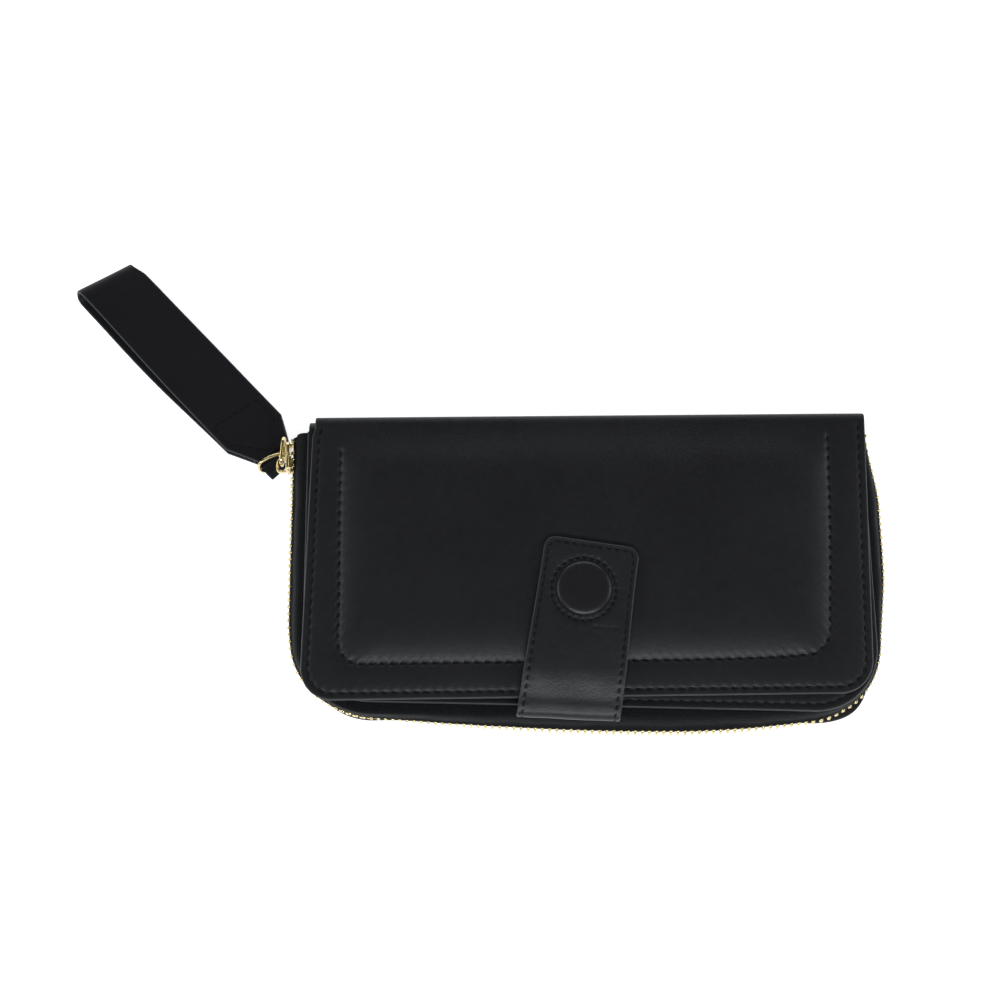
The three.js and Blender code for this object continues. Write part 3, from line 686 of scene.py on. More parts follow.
def spine_strip(line, first_ends, last_ends, thick_half, steps):
    """Leather strip along a line of (y, z) points, with its middle layer and outward normals.
    first_ends and last_ends are its left and right ends in X, where the line begins and ends."""
    path = curve_through(line, steps)
    share = np.linspace(0, 1, steps)[:, None]
    left = first_ends[0] + (last_ends[0] - first_ends[0]) * share
    right = first_ends[1] + (last_ends[1] - first_ends[1]) * share
    edge = np.array([0, 0.05, 0.14, 0.3, 0.6, 1.2, 1.8, 2.3, 2.8, 3.6])
    span = right - left
    across = np.concatenate([edge[None, :] + 0 * span,
                             4.5 + (span - 9) * np.linspace(0, 1, 150)[None, :],
                             span - edge[None, ::-1]], 1)
    x = left + across
    mid = np.stack([x, np.broadcast_to(path[:, :1], x.shape), np.broadcast_to(path[:, 1:], x.shape)], -1)
    from_edge = np.minimum(across, span - across)
    half = rounded(from_edge, thick_half)
    outward = -grid_normals(mid, False)
    outer = half - fold_creases(x, mid[..., 2]) * np.clip(from_edge, 0, 1)
    return thick(mid, outer, half, up=outward), mid, outward


def make_back_spine():
    """Roll of leather that joins the back cover to the middle leaf."""
    y = SPINE_Y
    z_back = BACK_HIGH[2] / 2
    z_leaf = (LEAF_LOW[2] + LEAF_HIGH[2]) / 2
    line = [(y, z_back), (y + 1.5, z_back + 0.15), (y + 2.8, z_back + 1.2), (y + 3.6, 4.5), (y + 3.8, 9),
            (y + 3.6, 13.5), (y + 2.8, z_leaf - 1.1), (y + 1.5, z_leaf - 0.15), (y, z_leaf)]
    ends = (-LEAF_HALF + 0.4, LEAF_HALF - 0.4)
    shell, _, _ = spine_strip(line, ends, ends, LEATHER / 2, 56)
    roll = add_piece("spine_roll", [shell], SKIN, None, "black_leather", "spine_lower")
    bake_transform(roll)


def make_flap_fold():
    """Fold between the middle leaf and the flap, with its stitches."""
    y = SPINE_Y
    z_sewn = LEAF_HIGH[2] + 0.75
    z_flap = FLAP_LOW[2] + LEATHER / 2
    sewn_to = y - 6.5
    line = [(sewn_to, z_sewn), (y - 3, z_sewn), (y, z_sewn), (y + 1.9, z_sewn + 0.25),
            (y + 3.0, z_sewn + 1.2), (y + 3.25, z_sewn + 2.1), (y + 2.7, z_flap - 0.55),
            (y + 1.4, z_flap - 0.08), (y, z_flap)]
    flap_ends = (FLAP_LEFT + FOLD_NARROW, FLAP_RIGHT)
    leaf_ends = (FLAP_LEFT + FOLD_NARROW - 0.5, FLAP_RIGHT + 0.6)
    shell, mid, outward = spine_strip(line, leaf_ends, flap_ends, LEATHER / 2 - 0.02, 70)
    fold = add_piece("flap_fold", [shell], SKIN, None, "black_leather", "spine_upper")
    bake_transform(fold)
    # Stitches run on over the fold at both sides, and a row across sews it to the middle leaf.
    outer = mid + outward * (LEATHER / 2 - 0.06)
    rows = [stitches(outer[18:, column], STITCH_PITCH, up=outward[18:, column]) for column in (7, -8)]
    side = add_piece("flap_fold_stitches", rows, THREAD, None, "black_leather")
    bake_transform(side)
    across = np.linspace(leaf_ends[0] + EDGE_ROW, leaf_ends[1] - EDGE_ROW, 400)
    row = np.stack([across, np.full(400, sewn_to + 1.8), np.full(400, z_sewn + LEATHER / 2 - 0.1)], -1)
    add_piece("fold_sewing", [stitches(row, STITCH_PITCH)], THREAD, "middle", "black_leather")


# ---- middle leaf and back cover ----
LEAF_SHAPE = (-LEAF_HALF, LEAF_HALF, LEAF_LOW[1], SPINE_Y, LEAF_CORNER)
LEAF_SLANT = 0.0296


def on_leaf(x, y):
    """The middle leaf's lower edge runs up a little to the left."""
    low = smooth((SPINE_Y - y) / (SPINE_Y - LEAF_LOW[1]))
    return x, y + low * (0.8 - LEAF_SLANT * x)


def on_back(x, y):
    """The back cover's lower edge is drawn out to the right, and most at its corner."""
    low = smooth((SPINE_Y - y) / (SPINE_Y - BACK_LOW[1]))
    corner = np.exp(-((x - 88) ** 2 + (y + 42) ** 2) / 12 ** 2)
    return x + 1.6 * corner, y - 2.1 * low * smooth((x - 10) / 75) - 2.2 * corner


def unmoved(x, y):
    """Mover for a panel that keeps the CAD's outline."""
    return x, y


def u_panel(name, shape, mover, low_z, high_z, material, body, slot, cad, side=1, row=EDGE_ROW,
            columns=(), mouth=None, sunk=0.16, pitch=STITCH_PITCH, thread=0.24):
    """Panel sewn along its U-shaped edge, and its stitches. Its good side is up (1) or down (-1).
    columns are the x of rows from top to bottom, mouth is the depth of a row below an open top edge,
    and the stitches lie sunk below the good side."""
    fine = np.array([0.0004, 0.001, 0.002, 0.0035, 0.005, 0.007, 0.009])
    f = np.unique(np.concatenate([np.linspace(0, 1, 521), fine, 1 - fine]))[None, :]
    depth = shape[3] - shape[2]
    far = [i for i in (11, 15, 20, 26, 33, 41, 50, 59, 68, 77, 85, 91) if i < depth - 4]
    near_top = [3.4, 2.6, 2.1, 1.8, 1.5, 1.1, 0.8, 0.5, 0.3, 0.14, 0.05, 0.02] if mouth else [0.02]
    inset = np.array([*EDGE_LINES, *far, *[depth - i for i in near_top]])[:, None]
    flat = u_point(shape, f, inset)
    half = (high_z - low_z) / 2
    from_top = shape[3] - flat[..., 1]
    fade = smooth(from_top / 5)
    good = half + undulation(flat[..., 0], flat[..., 1], 17, 0.06) * smooth(inset / 5) * fade
    surface = (high_z - sunk) if side > 0 else (low_z + sunk)
    shares, line, run = u_row(shape, row)
    lines = [line]
    phase = np.interp(f[0], shares, run / run[-1] * round(run[-1] / pitch))
    good = good - stitch_dip(inset - row, phase[None, :])
    for x in columns:
        y = np.linspace(shape[2] + row, shape[3] - (mouth or row), 160)
        lines.append(np.stack([0 * y + x, y], -1))
        good = good - 0.16 * np.exp(-((flat[..., 0] - x) / 0.7) ** 2)
    if mouth:
        x = np.linspace(shape[0] + row, shape[1] - row, 400)
        lines.append(np.stack([x, 0 * x + shape[3] - mouth], -1))
        good = good - 0.14 * np.exp(-((from_top - mouth) / 0.5) ** 2)
    stitched = []
    for line in lines:
        px, py = mover(line[:, 0], line[:, 1])
        sewn = np.stack([px, py, np.full(len(px), surface)], -1)
        stitched.append(stitches(sewn, pitch, up=(0, 0, float(side)), radius=thread,
                                 sink=1.4 * thread, lift=0.5 * thread))
    edge = rounded(inset, 1.0) * (rounded(from_top, 1.0) if mouth else 1)
    edge = np.maximum(np.broadcast_to(edge, good.shape), 0)
    x, y = mover(flat[..., 0], flat[..., 1])
    mid = np.stack([x, y, np.full(x.shape, (low_z + high_z) / 2)], -1)
    above, below = good * edge, half * edge
    if side < 0:
        above, below = below, above
    shell = thick(mid, above, below, up=np.array([0, 0, 1.0]))
    add_piece(name, [shell], material, body, slot, cad, marks=edge_highlight_mark(inset + 0 * x))
    add_piece(f"{name}_stitches", stitched, THREAD, body, slot)


def make_leaves():
    """The middle leaf and the back cover."""
    u_panel("middle_leaf", LEAF_SHAPE, on_leaf, LEAF_LOW[2], LEAF_HIGH[2], SKIN, "middle", "black_leather",
            "middle_leather")
    shape = (BACK_LOW[0], BACK_HIGH[0], BACK_LOW[1], SPINE_Y, BACK_CORNER)
    u_panel("back_leaf", shape, on_back, BACK_LOW[2], BACK_HIGH[2], SKIN, "back", "black_leather",
            "back_cover", side=-1, sunk=0.42)


# ---- inside: linings, card panels, slip panel, coin pocket and gussets ----
def inner_panel(name, cad, body, corner, side=1, cloth=False, columns=(), mouth=None, shape=None,
                mover=unmoved):
    """Lining or pocket panel in the place of a CAD node, with its stitches."""
    low, high = cad_box(cad)
    shape = shape or (low[0], high[0], low[1], high[1], corner)
    slot = "lining_fabric" if cloth else "black_leather"
    material = LINING_CLOTH if cloth else SKIN
    u_panel(name, shape, mover, low[2], high[2], material, body, slot, cad, side, 2.0, columns, mouth,
            sunk=0.1, pitch=2.7, thread=0.15)


def make_inside():
    """Linings, card panels, slip panel, coin pocket and gussets."""
    corner = LEAF_CORNER - LINING_INSET
    inner_panel("back_lining_cloth", "back_lining", "back", corner, cloth=True)
    inner_panel("middle_lining_cloth", "middle_lining", "middle", corner, -1, cloth=True)
    left, right, low, top, corner = FLAP_SHAPE
    shape = (left + LINING_INSET, right - LINING_INSET, low + LINING_INSET, top - 0.8, corner - LINING_INSET)
    inner_panel("flap_lining_cloth", "flap_lining", "flap", None, -1, cloth=True, shape=shape, mover=on_flap)
    cards = dict(columns=(0,), mouth=1.8)
    for layer in ("upper", "lower"):
        inner_panel(f"rear_card_pocket_{layer}", f"rear_card_panel_{layer}", "back", 6, **cards)
        inner_panel(f"flap_card_pocket_{layer}", f"flap_card_panel_{layer}", "flap", 2, -1, **cards)
    inner_panel("slip_pocket", "slip_panel", "middle", 2, mouth=1.8)
    inner_panel("coin_pocket_rear_cloth", "coin_pocket_back", "back", 10, cloth=True)
    make_coin_front()
    make_coin_zip()
    for side in ("left", "right"):
        make_gusset(side)


def make_coin_front():
    """Face of the coin pocket: it stands off the rear cloth, with a soft shoulder along its U."""
    low, high = cad_box("coin_pocket_front")
    shape = (low[0], high[0], low[1], high[1], 10)
    f = np.linspace(0, 1, 421)[None, :]
    cloth = 0.6
    lines = [0, 0.05, 0.15, 0.3, 0.5, 0.8, 1.1, 1.5, 1.9, 2.4, 2.9, 3.4, 4.2, 5.5, 8, 12, 17, 24, 32, 41]
    depth = shape[3] - shape[2]
    inset = np.array([*lines, 50, 60, depth - 4, depth - 1, depth - 0.02])[:, None]
    flat = u_point(shape, f, inset)
    x, y = flat[..., 0], flat[..., 1]
    shoulder = np.sqrt(1 - (1 - np.clip(inset / 3.4, 0, 1)) ** 2)
    rise = (high[2] - low[2] - cloth) * shoulder
    slack = undulation(x, y, 8, 0.16) * smooth(inset / 10) * smooth((shape[3] - y) / 8)
    mid = np.stack([x, y, low[2] + cloth / 2 + rise + slack], -1)
    half = np.broadcast_to(rounded(inset, cloth / 2, 0.3), x.shape)
    shell = thick(mid, half, half, up=-grid_normals(mid, False))
    add_piece("coin_pocket_face", [shell], LINING_CLOTH, "back", "lining_fabric", "coin_pocket_front")


def make_coin_tape(row):
    """One tape of the coin pocket's zip, with its length and width marks."""
    low, high = cad_box(f"coin_zip_tape_{row}")
    width = high[1] - low[1]
    across = np.array([0, 0.06, 0.2, 0.6, 1.2, 1.8, 2.2, 2.4, 2.54, 2.6])[:, None] / 2.6 * width
    x = np.linspace(low[0], high[0], 260)[None, :]
    mid = np.stack([x + 0 * across, low[1] + across + 0 * x, (low[2] + high[2]) / 2 + 0 * (x + across)], -1)
    half = rounded(np.minimum(across, width - across), (high[2] - low[2]) / 2, 0.25) + 0 * x
    marks = {"along": np.tile(mid[..., 0], (2, 1, 1)), "across": np.tile(across + 0 * x, (2, 1, 1))}
    shell = thick(mid, half, half, up=np.array([0, 0, 1.0]))
    add_piece(f"coin_{row}_tape", [shell], TAPE_CLOTH, "back", "zip_tape", f"coin_zip_tape_{row}",
              marks=marks)


def make_coin_zip():
    """Small zip along the coin pocket's mouth: two tapes, two rows of teeth, a slider and its puller."""
    for row in ("front", "rear"):
        make_coin_tape(row)
    low, high = cad_box("coin_zip_teeth")
    middle = (low + high) / 2
    pitch = 1.6
    rings, tooth_faces = tooth_rings()
    lengthways, outwards, height = rings.T
    points, faces = [], []
    for side in (-1, 1):
        for x in np.arange(low[0] + 1 + (side + 1) * pitch / 4, high[0] - 0.8, pitch):
            y = middle[1] + side * (1.25 - 1.6 * height)
            faces += [[i + len(points) * len(rings) for i in face] for face in tooth_faces]
            points.append(np.stack([x + 0.62 * lengthways, y, middle[2] + 0.6 * outwards], -1))
    add_piece("coin_teeth", [(np.concatenate(points), faces)], GOLD, "back", "pale_gold_metal",
              "coin_zip_teeth", sharp=50)
    make_coin_slider(middle)


def make_coin_slider(middle):
    """Slider of two plates with an arch, and its flat puller."""
    low, high = cad_box("coin_slider")
    x0, x1, y, z = low[0], high[0], middle[1], middle[2]

    def level(height):
        return lambda p: p + [0, 0, z + height]

    plate = [round_box(x0 + 0.2, x1, y - 2.2, y + 2.2, 1.5)]
    shells = [flat_cut(plate, 0.7, 0.2, level(1.35)), flat_cut(plate, 0.7, 0.2, level(-1.35)),
              flat_cut([round_box(x0 + 0.4, x0 + 1.2, y - 0.8, y + 0.8, 0.3)], 2.4, 0.1, level(0))]
    arch = curve_through([(x0 + 1, 1.6), (x0 + 1.2, 2.8), (x0 + 2, 3.3), (x0 + 4.6, 3.3), (x0 + 5.4, 2.8),
                          (x0 + 5.6, 1.6)], 36)
    points, faces = tube(np.stack([arch[:, 0], np.full(36, y), z + arch[:, 1]], -1), 0.3, 10)
    points[:, 1] = y + (points[:, 1] - y) * 2.4
    shells.append((points, faces))
    add_piece("coin_slider_body", shells, GOLD, "coin_slider", "pale_gold_metal", "coin_slider")
    low, high = cad_box("coin_puller")
    x0, x1 = low[0], high[0]
    handle = [round_box(x0, x1, y - 2.6, y + 2.6, 2.0, 8), round_box(x0 + 1.1, x0 + 6, y - 1.5, y + 1.5, 0.7),
              round_box(x1 - 4.4, x1 - 1.6, y - 1.3, y + 1.3, 1.2, 8)]
    shells = [flat_cut(handle, 0.6, 0.2, lambda p: p + [0, 0, (low[2] + high[2]) / 2])]
    add_piece("coin_pull_tab", shells, GOLD, "coin_puller", "pale_gold_metal", "coin_puller")


def make_gusset(side):
    """Cloth folded in three, joining the back leaf to the middle leaf."""
    low, high = cad_box(f"gusset_{side}")
    sign = -1 if side == "left" else 1
    x_in = min(abs(low[0]), abs(high[0])) + 0.3
    x_out = max(abs(low[0]), abs(high[0]))
    x_mid = 0.35 * x_out + 0.65 * x_in
    z0, z1 = low[2] + 0.25, high[2] - 0.25
    folds = [(x_out, 0), (x_mid, 0.09), (x_in, 0.27), (x_mid, 0.4), (x_out, 0.5), (x_mid, 0.6), (x_in, 0.73),
             (x_mid, 0.91), (x_out, 1)]
    path = curve_through([(sign * x, z0 + (z1 - z0) * share) for x, share in folds], 110)
    edge = np.array([0, 0.05, 0.15, 0.3, 0.6])
    inner = np.linspace(low[1] + 1.4, high[1] - 1.4, 50)
    y = np.concatenate([low[1] + edge, inner, high[1] - edge[::-1]])[None, :]
    x = path[:, :1] + 0.25 * np.sin(y / 6.1 + path[:, 1:] / 2)
    mid = np.stack([x, y + 0 * x, path[:, 1:] + 0 * x], -1)
    run = lengths(path)[:, None]
    from_edge = np.minimum(np.minimum(y - low[1], high[1] - y), np.minimum(run, run[-1] - run))
    half = rounded(from_edge, 0.25, 0.3)
    cloth = add_piece(f"gusset_{side}_cloth", [thick(mid, half, half)], LINING_CLOTH, None, "lining_fabric",
                      f"gusset_{side}", sharp=70)
    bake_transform(cloth)


# ---- zip ----
SIDE_RUN = SPINE_Y - (LEAF_LOW[1] + LEAF_CORNER)
CORNER_RUN = LEAF_CORNER * math.pi / 2
BOTTOM_RUN = 2 * (LEAF_HALF - LEAF_CORNER)
ZIP_RUN = 2 * SIDE_RUN + 2 * CORNER_RUN + BOTTOM_RUN
TAPE_THICK = 0.7
TAPE_FLANGE = 8.0
TAPE_EDGE = 0.95  # from the zip's middle to each tape's edge
TAPE_FLARE = 0.26
TAPE_DRAWN_IN = {"upper": 0.5, "lower": 1.5}
TOOTH_LENGTH = 2.3
TOOTH_GRIP = 0.8
# How far the zip stands out of the leaf's edge, along its way.
ZIP_SIDE = 6.0
ZIP_LEFT_CORNER = 0.8
ZIP_BOTTOM = 7.0
ZIP_RIGHT_CORNER = 2.8
ZIP_RIGHT_END = 3.0
TAPE_FOLD_Z = (BACK_HIGH[2] + 0.3 + TAPE_THICK / 2, LEAF_LOW[2] - 0.3 - TAPE_THICK / 2)


def leaf_edge(s):
    """Points and outward normals on the leaf's edge, at lengths s from its top left corner."""
    s = np.asarray(s, float)
    cx, cy = LEAF_HALF - LEAF_CORNER, LEAF_LOW[1] + LEAF_CORNER
    turn_left = math.pi + (s - SIDE_RUN) / LEAF_CORNER
    turn_right = -math.pi / 2 + (s - SIDE_RUN - CORNER_RUN - BOTTOM_RUN) / LEAF_CORNER
    ends = np.cumsum([SIDE_RUN, CORNER_RUN, BOTTOM_RUN, CORNER_RUN])
    part = np.searchsorted(ends, s)
    zero = 0 * s
    nx = np.choose(part, [zero - 1, np.cos(turn_left), zero, np.cos(turn_right), zero + 1])
    ny = np.choose(part, [zero, np.sin(turn_left), zero - 1, np.sin(turn_right), zero])
    x = np.choose(part, [zero - LEAF_HALF, -cx + LEAF_CORNER * nx, s - ends[1] - cx, cx + LEAF_CORNER * nx,
                         zero + LEAF_HALF])
    y = np.choose(part, [SPINE_Y - s, cy + LEAF_CORNER * ny, zero + LEAF_LOW[1], cy + LEAF_CORNER * ny,
                         cy + s - ends[3]])
    return np.stack([x, y], -1), np.stack([nx, ny], -1)


def ease(a, b, t):
    """From a to b as t goes from 0 to 1."""
    return a + (b - a) * (0.5 - 0.5 * np.cos(math.pi * np.clip(t, 0, 1)))


def swell(s):
    """How far the zip stands out of the leaf's edge: most at the sides and right of the middle below."""
    s = np.asarray(s, float)
    left = SIDE_RUN + CORNER_RUN - 6
    peak = left + 108
    right = peak + 52
    down = ease(ZIP_SIDE, ZIP_LEFT_CORNER, (s - 62) / (left - 62))
    rising = np.sin(math.pi / 2 * (s - left) / (peak - left))
    falling = np.cos(math.pi / 2 * (s - peak) / (right - peak))
    out = ZIP_LEFT_CORNER + (ZIP_BOTTOM - ZIP_LEFT_CORNER) * rising
    back = ZIP_RIGHT_CORNER + (ZIP_BOTTOM - ZIP_RIGHT_CORNER) * falling
    up = ease(ZIP_RIGHT_END, ease(ZIP_RIGHT_CORNER, ZIP_SIDE, (s - right - 17) / 36), (ZIP_RUN - s) / 27)
    return np.where(s < left, down, np.where(s < peak, out, np.where(s < right, back, up)))


def on_zip(s, out, z):
    """Points at lengths s, out from the leaf's edge."""
    at, normal = leaf_edge(s)
    flat = at + normal * np.asarray(out)[..., None]
    return np.concatenate([flat, np.broadcast_to(np.asarray(z, float), flat.shape[:-1])[..., None]], -1)


def tape_reach(s, side):
    """How far a tape's edge stands out."""
    return np.maximum(swell(s) - TAPE_DRAWN_IN[side], 0.3)


def tape_shell(side, fold_z, edge_z):
    """Tape from under the leaf's edge out to the teeth, with its length and width marks. It curves
    down and flares out again by the teeth."""
    s = np.linspace(0, ZIP_RUN, 560)[None, :]
    flat = np.array([-TAPE_FLANGE, -7.9, -7.6, -6, -4, -2, -0.8])[:, None]
    section = curve_through([(0, 0), (0.38, 0.06), (0.62, 0.32), (1 - TAPE_FLARE, 0.67), (1, 1)], 19)
    outward, drop = section[:, :1], section[:, 1:]
    ripple = 0.10 * np.sin(s / 5.2) + 0.08 * np.sin(s / 2.3 + 1)
    out = np.concatenate([flat + 0 * s, tape_reach(s, side) * outward])
    lean = np.concatenate([0 * flat + 0 * s, ripple * np.sin(math.pi * drop)])
    z = np.concatenate([fold_z + 0 * flat + 0 * s, fold_z + (edge_z - fold_z) * drop + 0 * s])
    mid = on_zip(np.broadcast_to(s, out.shape), out + lean, z)
    down = np.linalg.norm(np.diff(mid, axis=0), axis=-1)
    across = np.concatenate([np.zeros((1, s.shape[1])), np.cumsum(down, axis=0)])
    from_edge = np.minimum(across, across[-1:] - across)
    half = rounded(from_edge, TAPE_THICK / 2, 0.3)
    bead = 0.25 * np.exp(-((across[-1:] - across - 0.6) / 0.5) ** 2)
    marks = {"along": np.tile(np.broadcast_to(s, out.shape), (2, 1, 1)), "across": np.tile(across, (2, 1, 1))}
    return thick(mid, half + bead, half + bead), marks


def tooth_rings():
    """Tooth in its own axes: along the zip, outwards, and from its foot (0) to its tip (1).
    Legs that grip the tape, shoulders, a waist and a rounded head."""
    sections = [(-0.12, 0.85, 1.3), (0.0, 1.08, 1.95), (0.32, 1.12, 2.05), (0.45, 1.05, 1.9),
                (0.55, 0.9, 1.4), (0.72, 0.75, 1.1), (0.86, 0.95, 1.2), (0.96, 0.85, 1.05), (1.0, 0.5, 0.7)]
    sides = 12
    turn = np.linspace(0, 2 * math.pi, sides, endpoint=False) + math.pi / sides
    lengthways = np.sign(np.cos(turn)) * np.abs(np.cos(turn)) ** 0.55
    outwards = np.sign(np.sin(turn)) * np.abs(np.sin(turn)) ** 0.55
    rings = [np.stack([w / 2 * lengthways, t / 2 * outwards, np.full(sides, h)], -1) for h, w, t in sections]
    faces = grid_faces(len(rings), sides, 0, True).tolist()
    last = (len(rings) - 1) * sides
    faces += [list(range(sides))[::-1], [last + j for j in range(sides)]]
    return np.concatenate(rings), faces


def teeth_shell(side, up, start):
    """Row of teeth that grip the tape's edge and lean out as it flares."""
    s = np.arange(start, ZIP_RUN - 3.6, TOOTH_PITCH)
    _, normal = leaf_edge(s)
    edge = on_zip(s, tape_reach(s, side), ZIP_MID_Z + up * TAPE_EDGE + 0 * s)
    along = on_zip(s + 0.3, swell(s + 0.3), 0 * s) - on_zip(s - 0.3, swell(s - 0.3), 0 * s)
    along /= np.linalg.norm(along, axis=1, keepdims=True)
    out = np.stack([along[:, 1], -along[:, 0], 0 * s], -1)
    out *= np.sign(np.sum(out[:, :2] * normal, 1))[:, None]
    lean = np.arctan(TAPE_FLARE * tape_reach(s, side) / (2 * TAPE_EDGE))[:, None]
    vertical = np.array([0, 0, float(up)])
    axis = np.sin(lean) * out - np.cos(lean) * vertical
    face = np.cos(lean) * out + np.sin(lean) * vertical
    rings, tooth_faces = tooth_rings()
    points, faces = [], []
    for k in range(len(s)):
        down = rings[:, 2:] * TOOTH_LENGTH - TOOTH_GRIP
        tooth = edge[k] + rings[:, :1] * along[k] + rings[:, 1:2] * face[k] + down * axis[k]
        faces += [[i + k * len(rings) for i in row] for row in tooth_faces]
        points.append(tooth)
    return np.concatenate(points), faces


def make_end_stop(end, side, body, up):
    """Small metal block where a row of teeth ends."""
    s = np.array([0.6 if end == "left" else ZIP_RUN - 0.6])
    centre = on_zip(s, swell(s) - 0.3, ZIP_MID_Z + up * 0.8)[0]
    outline = round_box(-0.95, 0.95, -0.6, 0.6, 0.3, 4)
    block = flat_cut([outline], 1.0, 0.22, lambda p: centre + p[:, [0, 2, 1]])
    add_piece(f"{end}_{side}_stop", [block], GOLD, body, "pale_gold_metal", f"end_stop_{end}_{side}")


def make_zip():
    """Both tapes with their teeth, offset by half a pitch, and their end stops."""
    first = 4.0
    rows = [("lower", "back", TAPE_FOLD_Z[0], -1, first),
            ("upper", "middle", TAPE_FOLD_Z[1], 1, first + TOOTH_PITCH / 2)]
    for side, body, fold_z, up, start in rows:
        shell, marks = tape_shell(side, fold_z, ZIP_MID_Z + up * TAPE_EDGE)
        add_piece(f"{side}_zip_tape", [shell], TAPE_CLOTH, body, "zip_tape", f"{side}_tape", marks=marks)
        add_piece(f"{side}_zip_teeth", [teeth_shell(side, up, start)], GOLD, body, "pale_gold_metal",
                  f"{side}_teeth", sharp=50)
        for end in ("left", "right"):
            make_end_stop(end, side, body, up)


# ---- slider, puller and ring ----
def make_slider():
    """Two shield-shaped plates with rims, joined at the nose, and a bridge for the puller."""
    low, high = cad_box("slider_body")
    y0, y1 = low[1], high[1]

    def face_on(n):
        """Places a plate cut in (y, z) at a distance n out of the leaf's edge."""
        return lambda p: np.stack([-(LEAF_HALF + n + p[:, 2]), p[:, 0], ZIP_MID_Z + p[:, 1]], -1)

    def shield(tail, shoulder):
        """Half outline mirrored: narrow square tail, broad round shoulders and a blunt nose."""
        half = [(y0, tail * 0.72), (y0 + 0.5, tail), (y0 + 4.2, tail + 0.1), (y0 + 6.4, shoulder - 0.25),
                (y0 + 7.6, shoulder), (y0 + 8.9, shoulder - 0.15), (y1 - 0.5, shoulder * 0.78),
                (y1, shoulder * 0.35)]
        line = curve_through(half, 34)
        return [tuple(p) for p in line] + [(y, -z) for y, z in line[::-1]]

    shells = [
        flat_cut([shield(3.3, 4.35)], 1.15, 0.3, face_on(7.45)),
        flat_cut([shield(3.3, 4.35)], 1.15, 0.3, face_on(3.65)),
        flat_cut([round_box(y1 - 1.5, y1 - 0.2, -1.1, 1.1, 0.5)], 3.4, 0.2, face_on(5.55)),
    ]
    for side in (-1, 1):
        rim = round_box(y0 + 0.4, y0 + 5.0, side * 3.45 - 0.35, side * 3.45 + 0.35, 0.3, 4)
        shells.append(flat_cut([rim], 0.9, 0.15, face_on(6.6)))
    bridge = curve_through([(7.9, y0 + 0.5), (9.4, y0 + 0.3), (10.8, y0 + 0.45), (11.2, y0 + 2.4),
                            (10.8, y0 + 4.3), (9.4, y0 + 4.8), (7.9, y0 + 5.0)], 40)
    path = np.stack([-(LEAF_HALF + bridge[:, 0]), bridge[:, 1], np.full(40, ZIP_MID_Z)], -1)
    points, faces = tube(path, 0.5, 12)
    points[:, 2] = ZIP_MID_Z + (points[:, 2] - ZIP_MID_Z) * 2.3
    shells.append((points, faces))
    add_piece("zip_slider", shells, GOLD, "slider", "pale_gold_metal", "slider_body")


def make_puller():
    """Flat bar with a long slot, round the slider's bridge."""
    cos, sin = math.cos(PULLER_TURN), math.sin(PULLER_TURN)

    def place(p):
        flat = np.stack([p[:, 0], p[:, 2]], -1) @ np.array([[cos, sin], [-sin, cos]])
        x = PULLER_PIN[0] + PULLER_SHIFT[0] + flat[:, 0]
        y = PULLER_PIN[1] + PULLER_SHIFT[1] + flat[:, 1]
        return np.stack([x, y, PULLER_PIN[2] + p[:, 1]], -1)

    outline = round_box(-0.7, 9.6, -3.2, 3.2, 2.6, 10)
    slot = round_box(0.55, 8.0, -1.7, 1.7, 1.5, 10)
    add_piece("zip_puller", [flat_cut([outline, slot], 1.1, 0.42, place)], GOLD, "puller",
              "pale_gold_metal", "puller")


def ring_frame(side, back, up):
    """Point on the ring: sideways, back along the strap and up, from the pin."""
    across = np.array([math.cos(RING_TURN), math.sin(RING_TURN), 0])
    lean = np.array([math.cos(STRAP_TURN), math.sin(STRAP_TURN), 0])
    return STRAP_PIN + across * side + lean * back + np.array([0, 0, up])


def make_ring():
    """Bent wire from the puller's slot round the strap's tongue."""
    corners = [(-4, 0, 0), (0, 0, 0), (3.2, 0, 0), (4.4, 0.5, 1.8), (4.2, 1.1, 5), (3, 1.4, 6.8), (0, 1.5, 7),
               (-3, 1.2, 6.2), (-5.3, 0.5, 4.9), (-6, 0.3, 3), (-5.6, 0.1, 1)]
    path = curve_through([ring_frame(*c) for c in corners], 150, closed=True)
    add_piece("wire_ring", [tube(path, 0.52, 14, closed=True)], GOLD, "ring", "pale_gold_metal", "ring")


# ---- wrist loop ----
STRAP_HALF = 11.2
STRAP_LEATHER = 1.4


def on_strap(s, t, z):
    """Along the strap from its pin, across it (towards the wallet's front) and up."""
    x = STRAP_PIN[0] + s * math.cos(STRAP_TURN) - t * math.sin(STRAP_TURN)
    y = STRAP_PIN[1] + s * math.sin(STRAP_TURN) + t * math.cos(STRAP_TURN)
    return np.stack([x, y, z + 0 * s], -1)


def lay_strap(s, t, z):
    """As on_strap, for the broad strap: it lies a little to one side of its tongue and a little askew,
    and its ends are slanted."""
    slant = 0.17 + 0.09 * smooth((s - 14) / 75)
    along, across = s + slant * t, t - 3.2
    skew = math.radians(-1)
    return on_strap(along * math.cos(skew) - across * math.sin(skew),
                    along * math.sin(skew) + across * math.cos(skew), z)


def strap_width(s):
    """Half width: straight shoulders narrow to the end by the ring."""
    return np.where(s < 13.5, 6 + (STRAP_HALF - 6) * (s - 3) / 10.5, STRAP_HALF)


def strap_top(s):
    """Height of the strap's upper side, by the ring."""
    return np.interp(s, [3, 14, 40], [5.4, 5.5, 6.2]) + STRAP_LEATHER / 2


